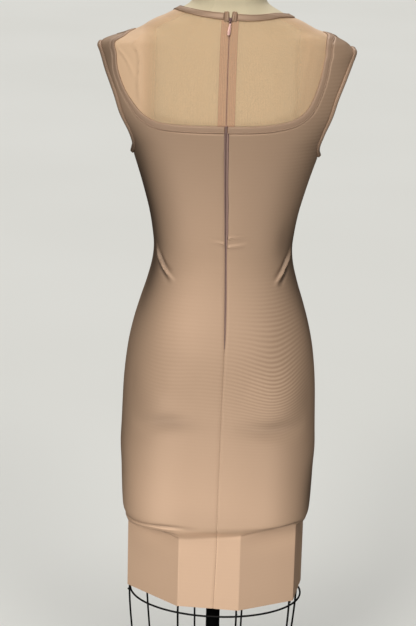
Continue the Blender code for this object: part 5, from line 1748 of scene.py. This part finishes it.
# %% [markdown]
# ## Metal
# The slider is zinc, lacquered to match the cloth, so it is dull and dark. The tab is the same zinc with
# a rose plating that was tumbled smooth. The cage is mild steel rod and the pole steel tube, both with
# black stoving enamel, and the flange and foot are iron castings with a rougher coat.

# %% Metal
def metal_material(name, light, dark, scale, bump_size, **sockets):
    made, tree, shader = material(name, **sockets)
    place_in = add(tree, "TexCoord").outputs["Object"]
    wear = add(tree, "TexNoise", {"Vector": place_in, "Scale": scale, "Detail": 4.0, "Roughness": 0.6})
    tone = add(tree, "MapRange", {0: wear, 1: 0.35, 2: 0.65})
    mixed = add(tree, "Mix", {0: tone, 6: colour(dark), 7: colour(light)}, data_type="RGBA")
    rough = shader.inputs["Roughness"].default_value
    sheen = add(tree, "MapRange", {0: wear, 1: 0.3, 2: 0.7, 3: rough * 0.85, 4: rough * 1.15})
    bump = add(tree, "Bump", {"Height": wear, "Strength": 0.4, "Distance": bump_size})
    feed(shader, {"Base Color": mixed.outputs[2], "Roughness": sheen, "Normal": bump})
    return made


lacquer = metal_material(
    "lacquered zinc", "#6E4F4C", "#513736", 500.0, 0.00003, Metallic=0.4, Roughness=0.4)
plating = metal_material(
    "rose plated zinc", "#CFACA3", "#B08A82", 300.0, 0.00001, Metallic=1.0, Roughness=0.36)
enamel = metal_material(
    "black stoved enamel", "#0A0A0B", "#050506", 220.0, 0.00006, Roughness=0.55, Specular_IOR_Level=0.25)
iron = metal_material("black painted casting", "#1B1B1C", "#101011", 140.0, 0.0003, Roughness=0.55)
paint(slider, lacquer)
paint(tab, plating)
for piece in (*rods, *hoops.values(), pole):
    paint(piece, enamel)
for piece in (base, flange):
    paint(piece, iron)
print("materials:", len(bpy.data.materials))

# %% [markdown]
# ## What each piece is, and what it rides on
# Each new piece stands for a solid of the frame and moves with its body. The tab rides on the body
# called pull and everything else on root. The knit is cut smaller than the body and stretched on, which
# is what holds the dress up.


# %% Standing for the solids
def stand_for(piece, nodes, body="root"):
    if nodes:
        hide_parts(*nodes)
    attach(piece, body)


stand_for(back_left, ["back_left"])
stand_for(back_right, ["back_right"])
stand_for(front, ["front"])
for word, piece in bands.items():
    stand_for(piece, ["yoke_band_" + word])
for word, piece in yokes.items():
    stand_for(piece, ["yoke_" + word])
stand_for(neckband, ["neckband"])
for word in ("left", "right"):
    stand_for(bindings[word], ["armhole_binding_" + word])
    stand_for(tapes[word], ["zip_tape_" + word])
    stand_for(rolls[word], [])
    stand_for(band_ends[word], [])
    stand_for(coils[word], [])
for piece in stitching.values():
    stand_for(piece, [])
stand_for(slider, ["zip_slider"])
stand_for(tab, ["zip_pull"], body="pull")
stand_for(torso, ["form_torso"])
for number, piece in enumerate(rods):
    stand_for(piece, [f"cage_wire_{number}"])
for word, piece in hoops.items():
    stand_for(piece, ["cage_hoop_" + word])
stand_for(pole, ["stand_pole"])
stand_for(flange, ["pole_flange"])
stand_for(base, ["stand_base"])


# %% [markdown]
# ## Floor and light
# A plain pale floor runs out past the picture, and a low pale wall, 30 m away all round, closes it off
# in views from near the ground. Neither throws light back at the dress. The light is three broad suns
# behind the camera, a high one and a lower one from each side, so that the middle of the body is bright
# and its sides fall into shade. The torso's edge would keep that light off the skirt, so three low
# softboxes and two spots reach in under it. They light the cloth and the form and leave out the thin
# black rods, the stand and the floor. One more sun, in front, lights the front of the dress.

# %% Floor and far wall
FLOOR, WALL_RADIUS, WALL_HEIGHT = 90.0, 30.0, 7.0  # in metres
bpy.ops.mesh.primitive_plane_add(size=FLOOR, location=(0.0, 0.0, 0.0))
floor = bpy.context.object
floor.name = "floor"
concrete, tree, shader = material("pale floor paint", Roughness=0.8, Specular_IOR_Level=0.2)
place_in = add(tree, "TexCoord").outputs["Object"]
cloudy = add(tree, "TexNoise", {"Vector": place_in, "Scale": 0.6, "Detail": 2.0})
floor_mix = add(tree, "Mix", {0: cloudy, 6: colour("#DCDCD7"), 7: colour("#E4E4E0")}, data_type="RGBA")
feed(shader, {"Base Color": floor_mix.outputs[2]})
paint(floor, concrete)
bpy.ops.mesh.primitive_cylinder_add(
    vertices=96, radius=WALL_RADIUS, depth=WALL_HEIGHT, location=(0.0, 0.0, WALL_HEIGHT / 2),
    end_fill_type="NOTHING",
)
wall = bpy.context.object
wall.name = "far_wall"
paint(wall, material("pale far wall", Base_Color=colour("#B9B9B7"), Emission_Color=colour("#F0F0EC"),
                     Emission_Strength=0.42, Roughness=0.9)[0])
for piece in (floor, wall):
    piece.visible_diffuse = piece.visible_glossy = False  # neither throws light back at the dress


# %% Lights and world
WARM, WHITE = (1.0, 0.985, 0.955), (1.0, 1.0, 1.0)


def add_light(kind, name, at, towards, tint):
    """A light at this place that shines along the vector towards."""
    bpy.ops.object.light_add(type=kind, location=at)
    light = bpy.context.object
    light.name, light.data.color = name, tint
    light.rotation_euler = towards.to_track_quat("-Z", "Y").to_euler()
    return light


def sun(name, azimuth, elevation, strength, angle, tint=WARM):
    """A far light. Azimuth 0 is straight behind the dress, and grows towards the wearer's left."""
    a, e = math.radians(azimuth), math.radians(elevation)
    towards = -Vector((math.sin(a) * math.cos(e), math.cos(a) * math.cos(e), math.sin(e)))
    light = add_light("SUN", name, (0.0, 0.0, 4.0), towards, tint)
    light.data.energy, light.data.angle = math.pi * strength, math.radians(angle)


def softbox(name, at, aim, size, strength):
    """A near disc of light. At its aim it is as strong as a sun of the same strength."""
    reach = Vector(aim) - Vector(at)
    light = add_light("AREA", name, at, reach, WARM)
    light.visible_camera = False
    light.data.shape, light.data.size = "DISK", size
    light.data.energy = (math.pi * reach.length) ** 2 * strength
    light.light_linking.receiver_collection = low_lit


def spot(name, at, aim, cone, strength):
    """A soft-edged cone of light on a part of the skirt, as strong at its aim as such a sun."""
    reach = Vector(aim) - Vector(at)
    light = add_light("SPOT", name, at, reach, WARM)
    light.data.spot_size, light.data.spot_blend, light.data.shadow_soft_size = math.radians(cone), 1.0, 0.15
    light.data.energy = (2 * math.pi * reach.length) ** 2 * strength
    light.light_linking.receiver_collection = low_lit


low_lit = bpy.data.collections.new("lit by the low lights")
for item in bpy.context.scene.objects:
    if item.type == "MESH" and item not in (floor, wall, pole, flange, base, *rods, *hoops.values()):
        low_lit.objects.link(item)
sun("high key", 0.0, 62.0, 0.28, 20.0)
sun("key, left", 25.0, 32.0, 0.40, 20.0)
sun("key, right", -25.0, 32.0, 0.21, 20.0)
softbox("low, middle", (0.0, 1.0, 0.2), (0.0, 0.0, 0.45), 0.5, 0.26)
softbox("low, left", (0.8, 0.95, 0.12), (0.0, 0.0, 0.42), 0.5, 0.34)
softbox("low, right", (-0.8, 0.95, 0.12), (0.0, 0.0, 0.42), 0.5, 0.23)
spot("skirt, left", (1.35, 0.9, 0.3), (0.11, 0.07, 0.46), 17.0, 0.36)
spot("skirt, right", (-0.95, 1.3, 0.3), (-0.09, 0.09, 0.46), 15.0, 0.22)
sun("front", 180.0, 50.0, 0.45, 30.0, WHITE)
world = bpy.context.scene.world = bpy.context.scene.world or bpy.data.worlds.new("studio")
world.use_nodes = True
sky = world.node_tree.nodes["Background"]
sky.inputs["Color"].default_value, sky.inputs["Strength"].default_value = colour("#D9DADB"), 0.03
bpy.context.scene.view_settings.view_transform = "Standard"
